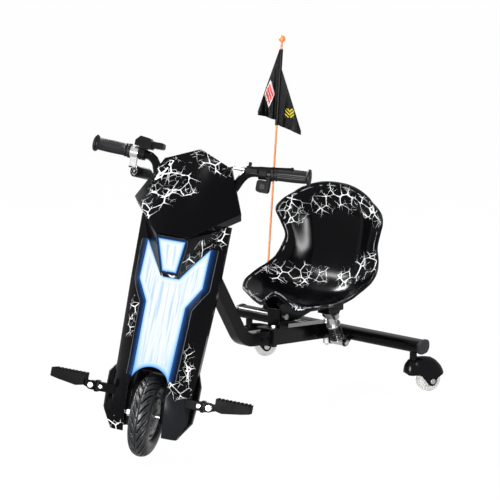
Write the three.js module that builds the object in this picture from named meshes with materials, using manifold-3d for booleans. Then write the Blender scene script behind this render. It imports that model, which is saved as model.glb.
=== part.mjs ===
// Tricycle drifter scooter: a steered front column with a hub motor wheel, a bent main tube, and a rear
// frame with a sprung bucket seat on two casters. Millimetres, +Z up, the front wheel towards -Y.
import * as THREE from "three";
import { mergeVertices } from "three/addons/utils/BufferGeometryUtils.js";
import { ConvexGeometry } from "three/addons/geometries/ConvexGeometry.js";
import Module from "manifold-3d";

const wasm = await Module();
wasm.setup();

// Clearances and cuts
const gap = 0.3;
const overrun = 6;
const lap = 1;
const mergeStep = 0.001;
const roundSides = 24;
const boltSides = 12;
const nutSides = 6;

// Steering geometry: the steered frame has its axes across, ahead of and along the steering axis
const rakeAngle = THREE.MathUtils.degToRad(17);
const restSteer = THREE.MathUtils.degToRad(25);
const wheelLead = 30.6;

// Front wheel
const tyreRadius = 101;
const tyreSection = 25;
const beadRadius = 58;
const beadHalfWidth = 16;
const hubHalfWidth = 22;
const hubShoulder = 46;
const axleRadius = 6;
const axleNutRadius = 11;
const axleNutWidth = 8;
const tyreSides = 40;
const wheelSides = 28;

// Fork
const forkInside = 33;
const forkPlate = 9;
const crownLow = 119;
const crownHigh = 137;
const crownHalfDepth = 20;
const dropoutRadius = 15;
const columnRadius = 20;
const columnTop = 404;
const steererRadius = 15;
const steererTop = 558;
const bulkheadPlate = 3;
const lowBulkhead = 124;
const highBulkhead = 344;

// Head tube, bearings and main tube
const headTubeLow = 410;
const headTubeHigh = 520;
const headTubeRadius = 22;
const headTubeBore = 18;
const bearingFlange = 4.4;
const bearingDepth = 10;
const tubeWidth = 30;
const tubeHeight = 35;
const tubeWall = 2.5;
const tubeMeetsAxis = 475;
const bendY = 362;
const bendZ = 194.5;
const bendRadius = 75;
const rearDrop = THREE.MathUtils.degToRad(8.5);
const tubeRearEnd = 281;
const pinHoleRadius = 4;
const pinHolePitch = 25;
const firstPinHole = 72;
const pinHoles = 8;

// Rear sleeve, measured along the rear stretch of the main tube from its bend
const sleeveWall = 4;
const sleeveFront = 131.4;
const sleeveRear = 413;
const collarLength = 17;
const collarWall = 3.5;
const collarLip = 40;
const lockScrewRadius = 4;
const lockScrewHead = 6;
const lockScrewAlong = 123;
const lockScrewAcross = 12;

// Rear cross tube and its caps
const crossY = 767;
const crossZ = 135;
const crossHalfLength = 306;
const crossDepth = 50;
const crossHeight = 34;
const crossWall = 2.5;
const crossFlat = 2;
const capLength = 8;
const capLip = 2;
const capPlug = 12;
const junctionBoltY = 761;
const junctionBoltRadius = 5;
const junctionNutRadius = 14;
const junctionNutHeight = 18;
const junctionHexShare = 0.75;
const junctionHeadShare = 0.7;

// Seat riser, bracket and pivot
const riserFront = 505;
const riserLength = 40;
const riserHalfWidth = 20;
const riserTop = 249;
const riserWall = 3.5;
const pivotY = 526;
const pivotZ = 225;
const pivotBoltRadius = 4.5;
const pivotHeadShare = 1.8;
const bracketPlate = 3;

// Bucket seat
const seatFront = 505;
const seatDepth = 297;
const seatLow = 230;
const seatHeight = 318;
const seatHalfWidth = 176;
const seatWall = 4;
const seatHump = 38;
const seatHumpHalfWidth = 66;
const seatColumnSteps = 18;
const seatRowSteps = 18;

// Shock under the seat, on the rider's left
const shockX = 62;
const shockTopY = 686;
const shockTopZ = 200.5;
const shockLowY = 726;
const shockLowZ = 116.5;
const shockEyeRadius = 10;
const shockTopHalfWidth = 13;
const shockLowHalfWidth = 20;
const shockBoltRadius = 4;
const shockBarrelRadius = 13;
const shockRodRadius = 6;
const shockStroke = 13;
const perchRadius = 20;
const perchPlate = 4;
const barrelReach = 34;
const springRadius = 17;
const springWire = 2.3;
const springTurns = 5.5;
const earPlate = 5;
const shockMountHalfLength = 36;

// Casters
const casterInset = 26;
const casterX = crossHalfLength - casterInset;
const casterTrail = 48;
const casterWheelRadius = 33;
const casterWheelHalfWidth = 14;
const casterAxleRadius = 5;
const casterBoltHead = 7.5;
const casterCrownShare = 0.14;
const casterTurns = [THREE.MathUtils.degToRad(60), THREE.MathUtils.degToRad(48)];
const hoodFront = -27;
const hoodLength = 118;
const hoodHalfWidth = 25;
const hoodLow = 19;
const hoodHeight = 83;
const hoodWall = 4;
const hoodLegRadius = 14;
const stemRadius = 10;
const stemPinRadius = 5;
const stemPinReach = 7;

// Flag
const poleInset = 85;
const poleX = poleInset - crossHalfLength;
const poleLean = THREE.MathUtils.degToRad(5.6);
const poleRadius = 3;
const poleLength = 784;
const ballRadius = 10;
const socketRadius = 8;
const socketHeight = 42;
const flagDrop = 31;
const flagHeight = 225;
const flagLeft = 57;
const flagRight = 68;
const flagThickness = 1;
const flagFold = 7;
const flagSleeve = 3.6;
const flagTurn = THREE.MathUtils.degToRad(37);

// Body fairing and rear cover, in the steered frame
const bodyFoot = -45;
const bodyHeight = 525;
const bodyHalfWidth = 112;
const bodyAhead = 80;
const bodyReturn = 28;
const shellWall = 3;
const archHalfWidth = 48;
const archCentre = 70;
const tyreRoom = 8;
const fenderPlate = 3;
const fenderAhead = 26;
const fenderBehind = 72;
const fenderLow = 80;
const panelBottom = 84;
const panelWaist = 270;
const panelCorner = 322;
const panelTip = 419;
const panelNotch = 335;
const panelBottomHalf = 46;
const panelWaistHalf = 50;
const panelTipHalf = 80;
const noseTipHalf = 20;
const lensFlange = 4;
const lensSunk = 0.8;
const lensPlate = 4.4;
const coverTop = 340;
const coverHalfWidth = 117;
const coverBack = 62;

// Head fairing and nose, in the steered frame
const headHalfWidth = 135;
const headLow = 425;
const headHeight = 233;
const headAhead = 109;
const headBehind = 52;
const headWall = 4.2;
const noseLow = 337;
const noseHeight = 133;
const noseHalfWidth = 100;
const noseAhead = 105;
const noseBack = 10;
const upperLensTop = 424;
const upperLensBottom = 349;
const upperLensTopHalf = 33;
const upperLensBottomHalf = 17;
const upperLensPlate = 4;

// Handlebar and what it carries, in the steered frame
const barRadius = 11;
const barBehind = 48;
const barClampBehind = 30;
const barClampAlong = 548;
const barStraightFrom = 140;
const barEnd = 270;
const barEndAlong = 633;
const barSlopeShare = 0.0625;
const barMiddleHalf = 62;
const barBendShare = 0.62;
const barHoleGap = 4;
const stemHalfWidth = 22;
const stemLow = 525.3;
const stemHigh = 566;
const stemWall = 4;
const gripInner = 181.2;
const gripOuter = 277;
const gripRadius = 16;
const gripFlangeRadius = 21;
const gripFlangeWidth = 6;
const gripChamfer = 2;
const clampRadius = 16;

// Foot pegs, in the steered frame
const pegAhead = 42;
const pegAlong = 47;
const pegBarDepth = 20;
const pegBarHeight = 22;
const pegPivot = 148;
const pegClevisRadius = 11;
const pegCollar = 7;
const pegCollarLip = 3;
const pegEnd = 249;
const pegBodyStart = 164;
const pegBodyHigh = 73;
const pegBodyLow = 40;
const pegWidth = 38;
const pegTeeth = 9;
const pegToothDepth = 4;
const pegPinRadius = 4;
const pegPinHeadShare = 1.7;
const pegToothShares = [0.5, 0.65, 0.9];
const pegEdge = 4;

// Battery and controller, in the steered frame
const batteryHalfWidth = 45;
const batteryDepth = 32;
const batteryHeight = 170;
const controllerHalfWidth = 28;
const controllerDepth = 14;
const controllerLow = 190;
const controllerHeight = 95;
const cableRadius = 2.5;

// Points, vectors and basic solids

const vec = (x, y, z) => new THREE.Vector3(x, y, z);
const at = (across, ahead, along) => vec(across, -ahead, along);
const xAxis = vec(1, 0, 0);
const yAxis = vec(0, 1, 0);
const zAxis = vec(0, 0, 1);
const sidePlane = [yAxis, zAxis, xAxis];
const topPlane = [xAxis, yAxis, zAxis];
const aheadPlane = [xAxis, zAxis, vec(0, -1, 0)];

// Turns a closed three.js geometry into a solid that can be cut and joined.
function solid(geometry) {
  const bare = geometry.index ? geometry.toNonIndexed() : geometry;
  const placesOnly = new THREE.BufferGeometry();
  placesOnly.setAttribute("position", bare.getAttribute("position"));
  const merged = mergeVertices(placesOnly, mergeStep);
  const corners = merged.index.array;
  const kept = [];
  for (let i = 0; i < corners.length; i += 3) {
    const [a, b, c] = [corners[i], corners[i + 1], corners[i + 2]];
    if (a !== b && b !== c && c !== a) kept.push(a, b, c);
  }
  const made = closedSolid(merged.attributes.position.array, kept);
  if (made.volume() >= 0) return made;
  return closedSolid(merged.attributes.position.array, kept.reverse());
}

function closedSolid(places, corners) {
  const mesh = new wasm.Mesh({
    numProp: 3,
    vertProperties: places,
    triVerts: new Uint32Array(corners),
  });
  return new wasm.Manifold(mesh);
}

function geometryOf(body) {
  const { vertProperties, triVerts } = body.getMesh();
  const geometry = new THREE.BufferGeometry();
  geometry.setAttribute("position", new THREE.BufferAttribute(vertProperties, 3));
  geometry.setIndex(new THREE.BufferAttribute(triVerts, 1));
  geometry.computeVertexNormals();
  return geometry;
}

function joined(...bodies) {
  return bodies.reduce((whole, body) => whole.add(body));
}

function cut(body, ...tools) {
  return tools.reduce((whole, tool) => whole.subtract(tool), body);
}

// Brings a geometry that is modelled around the Y axis onto a line through a point.
function aligned(geometry, place, direction) {
  const turn = new THREE.Quaternion().setFromUnitVectors(yAxis, direction.clone().normalize());
  return geometry.applyQuaternion(turn).translate(place.x, place.y, place.z);
}

function rod(from, to, radius, sides = roundSides) {
  const span = to.clone().sub(from);
  const geometry = new THREE.CylinderGeometry(radius, radius, span.length(), sides);
  return solid(aligned(geometry, from.clone().lerp(to, 0.5), span));
}

// A turned piece: its profile lists radius and distance from a point along a direction.
function turned(profile, from, direction, sides = roundSides) {
  const points = profile.map(([radius, along]) => new THREE.Vector2(radius, along));
  const onAxis = profile[0][0] === 0;
  if (!onAxis) points.push(points[0].clone());
  return solid(aligned(new THREE.LatheGeometry(points, sides), from, direction));
}

function block(one, other) {
  const size = other.clone().sub(one);
  const middle = one.clone().lerp(other, 0.5);
  const geometry = new THREE.BoxGeometry(Math.abs(size.x), Math.abs(size.y), Math.abs(size.z));
  return solid(geometry.translate(middle.x, middle.y, middle.z));
}

// Extrudes an outline of a plane between two distances along that plane's third direction.
function prism(outline, plane, from, to) {
  const shape = new THREE.Shape(outline.map(([a, b]) => new THREE.Vector2(a, b)));
  const geometry = new THREE.ExtrudeGeometry(shape, { depth: to - from, bevelEnabled: false });
  geometry.translate(0, 0, from);
  return solid(geometry.applyMatrix4(new THREE.Matrix4().makeBasis(...plane)));
}

function hull(points) {
  return solid(new ConvexGeometry(points));
}

// Points of an arc about a centre, from one angle to another.
function arc(centre, radius, fromAngle, toAngle, steps) {
  return Array.from({ length: steps + 1 }, (_, i) => {
    const angle = fromAngle + ((toAngle - fromAngle) * i) / steps;
    return [centre[0] + radius * Math.cos(angle), centre[1] + radius * Math.sin(angle)];
  });
}

function roundedBox(centre, width, height, radius, steps = 3) {
  const corners = [
    [1, 1],
    [-1, 1],
    [-1, -1],
    [1, -1],
  ];
  return corners.flatMap(([right, up], i) => {
    const middle = [
      centre[0] + right * (width / 2 - radius),
      centre[1] + up * (height / 2 - radius),
    ];
    return arc(middle, radius, (i * Math.PI) / 2, ((i + 1) * Math.PI) / 2, steps);
  });
}

function circle(centre, radius, sides = roundSides) {
  return arc(centre, radius, 0, 2 * Math.PI, sides).slice(1);
}

function sweep(path, radius, steps, sides) {
  const shape = new THREE.Shape(circle([0, 0], radius, sides).map(([a, b]) => new THREE.Vector2(a, b)));
  return solid(new THREE.ExtrudeGeometry(shape, { steps, extrudePath: path, bevelEnabled: false }));
}

// Closes two grids of points, a front and a back, into one thin solid.
function sheetBetween(front, back) {
  const places = [];
  const quad = (a, b, c, d) => places.push(a, b, c, a, c, d);
  const lastRow = front.length - 1;
  const lastColumn = front[0].length - 1;
  for (let i = 0; i < lastRow; i++) {
    for (let j = 0; j < lastColumn; j++) {
      quad(front[i][j], front[i][j + 1], front[i + 1][j + 1], front[i + 1][j]);
      quad(back[i][j], back[i + 1][j], back[i + 1][j + 1], back[i][j + 1]);
    }
    quad(front[i][0], front[i + 1][0], back[i + 1][0], back[i][0]);
    quad(front[i + 1][lastColumn], front[i][lastColumn], back[i][lastColumn], back[i + 1][lastColumn]);
  }
  for (let j = 0; j < lastColumn; j++) {
    quad(front[0][j + 1], front[0][j], back[0][j], back[0][j + 1]);
    quad(front[lastRow][j], front[lastRow][j + 1], back[lastRow][j + 1], back[lastRow][j]);
  }
  return solid(new THREE.BufferGeometry().setFromPoints(places));
}

// Joins closed rings of equal count into a solid with fans at both ends.
function loft(rings) {
  const places = [];
  const count = rings[0].length;
  for (let i = 0; i + 1 < rings.length; i++) {
    for (let j = 0; j < count; j++) {
      const k = (j + 1) % count;
      places.push(rings[i][j], rings[i][k], rings[i + 1][k]);
      places.push(rings[i][j], rings[i + 1][k], rings[i + 1][j]);
    }
  }
  const middle = (ring) => ring.reduce((sum, p) => sum.add(p), vec(0, 0, 0)).divideScalar(count);
  const first = rings[0];
  const last = rings[rings.length - 1];
  for (let j = 0; j < count; j++) {
    const k = (j + 1) % count;
    places.push(middle(first), first[k], first[j]);
    places.push(middle(last), last[j], last[k]);
  }
  return solid(new THREE.BufferGeometry().setFromPoints(places));
}

// Moves an outline to the left of its travel by a distance, with mitred corners.
function offsetOutline(points, distance, closed = false) {
  const count = points.length;
  const leftOf = (a, b) => {
    const run = [b[0] - a[0], b[1] - a[1]];
    const length = Math.hypot(run[0], run[1]);
    return [-run[1] / length, run[0] / length];
  };
  return points.map((point, i) => {
    const before = closed ? points[(i + count - 1) % count] : points[i - 1];
    const after = closed ? points[(i + 1) % count] : points[i + 1];
    const one = before ? leftOf(before, point) : leftOf(point, after);
    const two = after ? leftOf(point, after) : one;
    const sum = [one[0] + two[0], one[1] + two[1]];
    const scale = (2 * distance) / (sum[0] * sum[0] + sum[1] * sum[1]);
    return [point[0] + sum[0] * scale, point[1] + sum[1] * scale];
  });
}

// Two distances in rising order.
function between(one, other) {
  return one < other ? [one, other] : [other, one];
}

function mirrored(points) {
  return [...points, ...points.map(([a, b]) => [-a, b]).reverse()];
}

// Finishes: colour, roughness and metalness

const finishes = {
  crackle: { color: 0x0b0b0e, roughness: 0.15, metalness: 0 },
  blackPlastic: { color: 0x141518, roughness: 0.45, metalness: 0 },
  blackPaint: { color: 0x0d0d0f, roughness: 0.3, metalness: 0.2 },
  rubber: { color: 0x1b1c1f, roughness: 0.8, metalness: 0 },
  tyreRubber: { color: 0x1d1e22, roughness: 0.75, metalness: 0 },
  silver: { color: 0xc4c6ca, roughness: 0.3, metalness: 1 },
  darkSteel: { color: 0x53555a, roughness: 0.35, metalness: 1 },
  wheelWhite: { color: 0xe6e6e2, roughness: 0.5, metalness: 0 },
  orange: { color: 0xf06a1c, roughness: 0.4, metalness: 0 },
  cloth: { color: 0x101114, roughness: 0.9, metalness: 0 },
  lens: { color: 0xdfeaff, roughness: 0.2, metalness: 0 },
  battery: { color: 0x1f3f7a, roughness: 0.5, metalness: 0 },
};

function piece(name, body, finish) {
  const mesh = new THREE.Mesh(geometryOf(body), new THREE.MeshStandardMaterial(finishes[finish]));
  mesh.name = name;
  return mesh;
}

// Front wheel: tyre, hub motor and axle, about the wheel centre

function tyre() {
  const middle = tyreRadius - tyreSection;
  const shoulder = Math.asin((beadRadius - middle) / tyreSection);
  const tread = arc([0, middle], tyreSection, Math.PI - shoulder, shoulder, 12);
  const beads = [
    [beadHalfWidth, beadRadius],
    [-beadHalfWidth, beadRadius],
  ];
  const profile = [...tread, ...beads].map(([across, radius]) => [radius, across]);
  return turned(profile, at(0, wheelLead, 0), xAxis, tyreSides);
}

function hubMotor() {
  const rimRadius = beadRadius - gap;
  const profile = [
    [axleRadius + gap, -hubHalfWidth],
    [hubShoulder / 2, -hubHalfWidth],
    [hubShoulder, -hubHalfWidth + shellWall],
    [rimRadius, -beadHalfWidth],
    [rimRadius, beadHalfWidth],
    [hubShoulder, hubHalfWidth - shellWall],
    [hubShoulder / 2, hubHalfWidth],
    [axleRadius + gap, hubHalfWidth],
  ];
  return turned(profile, at(0, wheelLead, 0), xAxis, tyreSides);
}

function wheelAxle() {
  const nutInside = forkInside + forkPlate + gap;
  const nutOutside = nutInside + axleNutWidth;
  const end = nutOutside + axleRadius;
  const shaft = rod(at(-end, wheelLead, 0), at(end, wheelLead, 0), axleRadius);
  const nuts = [-1, 1].map((side) =>
    rod(at(side * nutInside, wheelLead, 0), at(side * nutOutside, wheelLead, 0), axleNutRadius, nutSides),
  );
  return joined(shaft, ...nuts);
}

// Body fairing: rows of rise, then edge, shoulder and crest as shares of half width and reach ahead
const bodyRowShares = [
  [0, [0.741, 0.575], [0.67, 0.688], [0.446, 0.725]],
  [0.082, [0.929, 0.675], [0.768, 0.775], [0.43, 0.925]],
  [0.2, [0.893, 0.375], [0.75, 0.7], [0.43, 1]],
  [0.307, [0.911, 0.225], [0.75, 0.6], [0.41, 0.875]],
  [0.699, [0.982, 0.025], [0.732, 0.45], [0.41, 0.575]],
  [1, [1, -0.05], [0.732, 0.1], [0.41, 0.34]],
];

// Rear cover rows: rise, then front and back corners as shares of half width and depth behind
const coverRowShares = [
  [0, [0.718, -0.55], [0.6, 0.73]],
  [0.11, [0.966, -0.484], [0.752, 0.968]],
  [0.267, [1, -0.355], [0.786, 1]],
  [0.34, [1, -0.323], [0.786, 1]],
  [0.417, [0.857, 0.17], [0.735, 1]],
  [1, [0.925, 0.452], [0.718, 0.968]],
];

function bodyOutline(row) {
  const points = row.slice(1).map(([across, ahead]) => [across * bodyHalfWidth, ahead * bodyAhead]);
  const back = [points[0][0] - shellWall / 2, points[0][1] - bodyReturn];
  return mirrored([back, ...points]);
}

function bodyGrid(inset) {
  return bodyRowShares.map((row) =>
    offsetOutline(bodyOutline(row), inset).map(([across, ahead]) =>
      at(across, ahead, bodyFoot + row[0] * bodyHeight),
    ),
  );
}

const bodySheet = (outer, inner) => sheetBetween(bodyGrid(outer), bodyGrid(inner));
const bodyFilled = (inset) => loft(bodyGrid(inset));

function panelOutline(inset) {
  const half = [
    [panelBottomHalf, panelBottom],
    [panelWaistHalf, panelWaist],
    [panelTipHalf, panelCorner],
    [panelTipHalf, panelTip],
    [noseTipHalf, panelNotch],
  ];
  return offsetOutline(mirrored(half), inset, true);
}

function panelPrism(inset) {
  return prism(panelOutline(inset), aheadPlane, 0, bodyAhead + overrun);
}

function wheelArch(extra) {
  const radius = archHalfWidth + extra;
  const foot = bodyFoot - overrun;
  const outline = [...arc([0, archCentre], radius, 0, Math.PI, 12), [-radius, foot], [radius, foot]];
  return prism(outline, aheadPlane, -coverBack - overrun, bodyAhead + overrun);
}

// The room in which the tyre turns, as wide as the space between the fork legs.
function tyreClear(extra) {
  const radius = tyreRadius + tyreRoom + extra;
  return rod(at(-forkInside, wheelLead, 0), at(forkInside, wheelLead, 0), radius, 2 * roundSides);
}

function pegNotch(side) {
  const halfDepth = pegBarDepth / 2 + 1.5 * gap;
  const halfHeight = pegBarHeight / 2 + 1.5 * gap;
  return block(
    at(side * (forkInside + forkPlate), pegAhead - halfDepth, pegAlong - halfHeight),
    at(side * (coverHalfWidth + overrun), pegAhead + halfDepth, pegAlong + halfHeight),
  );
}

// The part of the wheel arch that opens ahead of the fork.
function archMouth() {
  const reach = archHalfWidth + overrun;
  const near = at(-reach, crownHalfDepth, bodyFoot - 2 * overrun);
  return wheelArch(0).intersect(block(near, at(reach, bodyAhead + 2 * overrun, panelWaist)));
}

function bodyFairing() {
  return cut(bodySheet(0, shellWall), panelPrism(0), wheelArch(0), pegNotch(1), pegNotch(-1));
}

function panelLens() {
  const seat = shellWall + gap;
  const face = bodySheet(lensSunk, seat + gap).intersect(panelPrism(1.5 * gap));
  const flange = bodySheet(seat, seat + lensFlange / 2).intersect(panelPrism(-lensFlange));
  return cut(joined(face, flange), wheelArch(gap), nosePocketClear());
}

function rearCover() {
  const outlineOf = (row) =>
    mirrored([
      [row[1][0] * coverHalfWidth, -row[1][1] * coverBack],
      [row[2][0] * coverHalfWidth, -row[2][1] * coverBack],
    ]);
  const grid = (inset) =>
    coverRowShares.map((row) =>
      offsetOutline(outlineOf(row), -inset).map(([across, ahead]) =>
        at(across, ahead, bodyFoot + shellWall + row[0] * (coverTop - bodyFoot - shellWall)),
      ),
    );
  const floor = block(
    at(-forkInside - forkPlate, -coverBack - overrun, bodyFoot - overrun),
    at(forkInside + forkPlate, bodyAhead, pegAlong),
  );
  return cut(sheetBetween(grid(0), grid(shellWall)), bodyFilled(-gap), tyreClear(0), floor, archMouth());
}

// Head fairing: points as shares of half width, reach ahead or behind, and rise
const headPointShares = [
  [0, -0.23, 1],
  [0, -0.073, 0.931],
  [0.63, -0.2, 0.845],
  [0.63, -0.37, 0.837],
  [1, 0.073, 0.39],
  [0.289, 1, 0.043],
  [0.267, 0.55, 0],
  [0.978, -0.183, 0.322],
  [0, -0.477, 0.966],
  [0.607, -0.477, 0.803],
  [0.904, -0.477, 0.386],
  [0.852, -0.477, 0.356],
];

function headPoints() {
  return headPointShares.flatMap(([across, ahead, rise]) => {
    const place = [ahead * headAhead, headLow + rise * headHeight];
    return [at(across * headHalfWidth, ...place), at(-across * headHalfWidth, ...place)];
  });
}

function headInner() {
  const middle = at(0, 0, headLow + headHeight / 2);
  return hull(
    headPoints().map((point) => {
      const reach = point.distanceTo(middle);
      return middle.clone().lerp(point, 1 - headWall / reach);
    }),
  );
}

const headFilled = hull(headPoints());

function headFairing() {
  const swing = block(
    at(-coverHalfWidth / 2, -headBehind - overrun, headLow - overrun),
    at(coverHalfWidth / 2, 0, tubeMeetsAxis + headTubeRadius),
  );
  const belowBody = bodyFilled(-gap).translate([0, 0, gap]);
  const shell = cut(headFilled, headInner(), bodyFilled(-gap), belowBody, swing);
  return cut(shell, barTube(barHoleGap), cableTube(cableRadius), headTubeClear());
}

function headTubeClear() {
  return rod(at(0, 0, headTubeLow - 2 * overrun), at(0, 0, stemLow), headTubeRadius + overrun);
}

// Nose cover: points as shares of half width, reach ahead and rise
const nosePointShares = [
  [0.39, 1, 0.722],
  [0.2, 0.667, 0],
  [0.2, 0.3, 0],
  [0.82, 0.21, 0.662],
  [1, 0.095, 1],
  [0.82, 0.05, 0.662],
  [0.9, 0, 1],
];

function nosePoints() {
  return nosePointShares.flatMap(([across, ahead, rise]) => {
    const place = [ahead * noseAhead, noseLow + rise * noseHeight];
    return [at(across * noseHalfWidth, ...place), at(-across * noseHalfWidth, ...place)];
  });
}

// The sloping front of the nose: how far ahead it lies at a height along the axis.
function noseFront(along) {
  const [top, bottom] = [nosePointShares[0], nosePointShares[1]];
  const rise = (along - noseLow) / noseHeight;
  const share = bottom[1] + ((rise - bottom[2]) * (top[1] - bottom[1])) / (top[2] - bottom[2]);
  return share * noseAhead;
}

function upperLensBody(extra, sunk, depth) {
  const rows = [
    [upperLensTopHalf + extra, upperLensTop + extra],
    [upperLensBottomHalf + extra, upperLensBottom - extra],
  ];
  return hull(
    rows.flatMap(([half, along]) =>
      [-sunk, -depth].flatMap((ahead) => [
        at(half, noseFront(along) + ahead, along),
        at(-half, noseFront(along) + ahead, along),
      ]),
    ),
  );
}

function nosePocketClear() {
  return hull(nosePoints());
}

function noseCover() {
  const filled = hull(nosePoints());
  const headClear = joined(headFilled, headFilled.translate([0, 0, -gap]));
  const pocket = upperLensBody(gap, -overrun, upperLensPlate + gap);
  return cut(filled, bodyFilled(-gap), headClear, pocket, panelLensClear());
}

function panelLensClear() {
  return bodySheet(-gap, shellWall).intersect(panelPrism(-gap));
}

// Fork: legs, crown, column, steerer and the bulkheads that carry the shells

function forkLeg(side) {
  const tipAngle = Math.PI / 10;
  const foot = arc([wheelLead, 0], dropoutRadius, -Math.PI - tipAngle, tipAngle, 8);
  const outline = [
    [-crownHalfDepth, crownHigh],
    [-crownHalfDepth, crownLow],
    ...foot,
    [pegAhead + pegBarDepth / 2, pegAlong - pegBarHeight / 2],
    [pegAhead + pegBarDepth / 2, pegAlong + pegBarHeight / 2],
    [crownHalfDepth, crownLow],
    [crownHalfDepth, crownHigh],
  ];
  const plane = [vec(0, -1, 0), zAxis, vec(-1, 0, 0)];
  const leg = prism(outline, plane, ...between(-side * forkInside, -side * (forkInside + forkPlate)));
  const reach = forkInside + forkPlate + overrun;
  const inside = at(side * (forkInside - overrun), wheelLead, 0);
  const hole = rod(inside, at(side * reach, wheelLead, 0), axleRadius + gap);
  return cut(leg, hole);
}

function bulkhead(along) {
  const slab = block(
    at(-bodyHalfWidth, -coverBack, along),
    at(bodyHalfWidth, bodyAhead, along + bulkheadPlate),
  );
  const lensRoom = bodySheet(0, shellWall + lensFlange).intersect(panelPrism(-lensFlange - gap));
  return cut(slab.intersect(bodyFilled(shellWall + gap)), lensRoom, cableTube(cableRadius));
}

// A strip over the tyre, from leg to leg.
function innerFender() {
  const strip = cut(tyreClear(fenderPlate), tyreClear(0));
  const room = block(
    at(-forkInside - lap, -fenderBehind + wheelLead, fenderLow),
    at(forkInside + lap, fenderAhead + wheelLead, tyreRadius + tyreRoom + 2 * fenderPlate),
  );
  return strip.intersect(room);
}

function fork() {
  const crownReach = forkInside + forkPlate;
  const crownCorner = at(crownReach, crownHalfDepth, crownHigh);
  const crown = block(at(-crownReach, -crownHalfDepth, crownLow), crownCorner);
  const column = rod(at(0, 0, crownLow + lap), at(0, 0, columnTop), columnRadius);
  const steerer = rod(at(0, 0, columnTop - overrun), at(0, 0, steererTop), steererRadius);
  const plates = [lowBulkhead, highBulkhead].map(bulkhead);
  return joined(crown, column, steerer, forkLeg(1), forkLeg(-1), innerFender(), ...plates);
}

function headsetBearing(seat, outward) {
  const profile = [
    [steererRadius + gap, outward * bearingFlange],
    [headTubeRadius, outward * bearingFlange],
    [headTubeRadius, outward * gap],
    [headTubeBore - gap, outward * gap],
    [headTubeBore - gap, -outward * bearingDepth],
    [steererRadius + gap, -outward * bearingDepth],
  ];
  return turned(profile, at(0, 0, seat), zAxis);
}

// Main tube: a bent box tube in the mid plane, with the head tube at its front

// The steering axis foot and direction, and a point of it in the frame's own axes
const wheelFoot = (() => {
  const acrossDip = Math.sin(rakeAngle) * Math.sin(restSteer);
  const aheadRise = Math.sin(rakeAngle) * Math.cos(restSteer);
  const crownRing = (tyreRadius - tyreSection) * Math.sqrt(1 - acrossDip * acrossDip);
  return crownRing + tyreSection - wheelLead * aheadRise;
})();
const axisDirection = vec(0, Math.sin(rakeAngle), Math.cos(rakeAngle));
const onAxis = (along) => vec(0, 0, wheelFoot).add(axisDirection.clone().multiplyScalar(along));

// A point of the rear stretch: across, along it from the bend, and above its middle line
const onTube = (across, along, above) =>
  vec(
    across,
    bendY + along * Math.cos(rearDrop) + above * Math.sin(rearDrop),
    bendZ - along * Math.sin(rearDrop) + above * Math.cos(rearDrop),
  );

function tubeOutline(inset, extraEnd) {
  const half = tubeHeight / 2 - inset;
  const top = onAxis(tubeMeetsAxis);
  const steep = Math.atan2(top.z - bendZ, bendY - top.y);
  const turn = steep - rearDrop;
  const tangent = bendRadius * Math.tan(turn / 2);
  const centre = onTube(0, tangent, bendRadius);
  const arcCentre = [centre.y, centre.z];
  const startAngle = -Math.PI / 2 - steep;
  const endAngle = -Math.PI / 2 - rearDrop;
  const outer = arc(arcCentre, bendRadius + half, startAngle, endAngle, 8);
  const inner = arc(arcCentre, bendRadius - half, endAngle, startAngle, 8);
  const end = tubeRearEnd + extraEnd;
  const [endLow, endHigh] = [onTube(0, end, -half), onTube(0, end, half)];
  const side = [half * Math.sin(steep), half * Math.cos(steep)];
  return [
    [top.y - side[0], top.z - side[1]],
    ...outer,
    [endLow.y, endLow.z],
    [endHigh.y, endHigh.z],
    ...inner,
    [top.y + side[0], top.z + side[1]],
  ];
}

function mainFrame() {
  const skin = prism(tubeOutline(0, 0), sidePlane, -tubeWidth / 2, tubeWidth / 2);
  const inside = tubeWidth / 2 - tubeWall;
  const core = prism(tubeOutline(tubeWall, overrun), sidePlane, -inside, inside);
  const headTube = rod(onAxis(headTubeLow), onAxis(headTubeHigh), headTubeRadius);
  const bore = rod(onAxis(headTubeLow - overrun), onAxis(headTubeHigh + overrun), headTubeBore);
  const holes = Array.from({ length: pinHoles }, (_, i) => {
    const along = firstPinHole + i * pinHolePitch;
    return rod(onTube(-tubeWidth, along, 0), onTube(tubeWidth, along, 0), pinHoleRadius, boltSides);
  });
  const shell = cut(skin, core, ...holes);
  return cut(joined(shell, cut(headTube, core)), bore);
}

// Rear sleeve and collar, along the rear stretch of the main tube

function alongTube(halfWidth, from, to, low, high) {
  const slope = new THREE.Matrix4().makeRotationX(-rearDrop);
  const place = onTube(0, 0, 0);
  const size = [2 * halfWidth, to - from, high - low];
  const geometry = new THREE.BoxGeometry(...size).translate(0, (from + to) / 2, (low + high) / 2);
  return solid(geometry.applyMatrix4(slope).translate(place.x, place.y, place.z));
}

const sleeveHalfWidth = tubeWidth / 2 + gap + sleeveWall;
const sleeveHalfHeight = tubeHeight / 2 + gap + sleeveWall;

function tubeBore(from, to) {
  const halfHeight = tubeHeight / 2 + gap;
  return alongTube(tubeWidth / 2 + gap, from, to, -halfHeight, halfHeight);
}

function rearSleeve() {
  const outside = alongTube(sleeveHalfWidth, sleeveFront, sleeveRear, -sleeveHalfHeight, sleeveHalfHeight);
  const bore = tubeBore(sleeveFront - overrun, sleeveRear + overrun);
  return cut(outside, bore, crossBar(gap), junctionHole());
}

function sleeveCollar() {
  const halfWidth = sleeveHalfWidth + collarWall;
  const halfHeight = sleeveHalfHeight + collarWall;
  const front = sleeveFront - collarLength;
  const ring = alongTube(halfWidth, front, sleeveFront - gap, -halfHeight, halfHeight);
  const lip = alongTube(halfWidth, front - collarLip / 2, front + lap, halfHeight - collarWall, halfHeight);
  return cut(joined(ring, lip), tubeBore(front - collarLip, sleeveFront + overrun), lockScrewHole());
}

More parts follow.
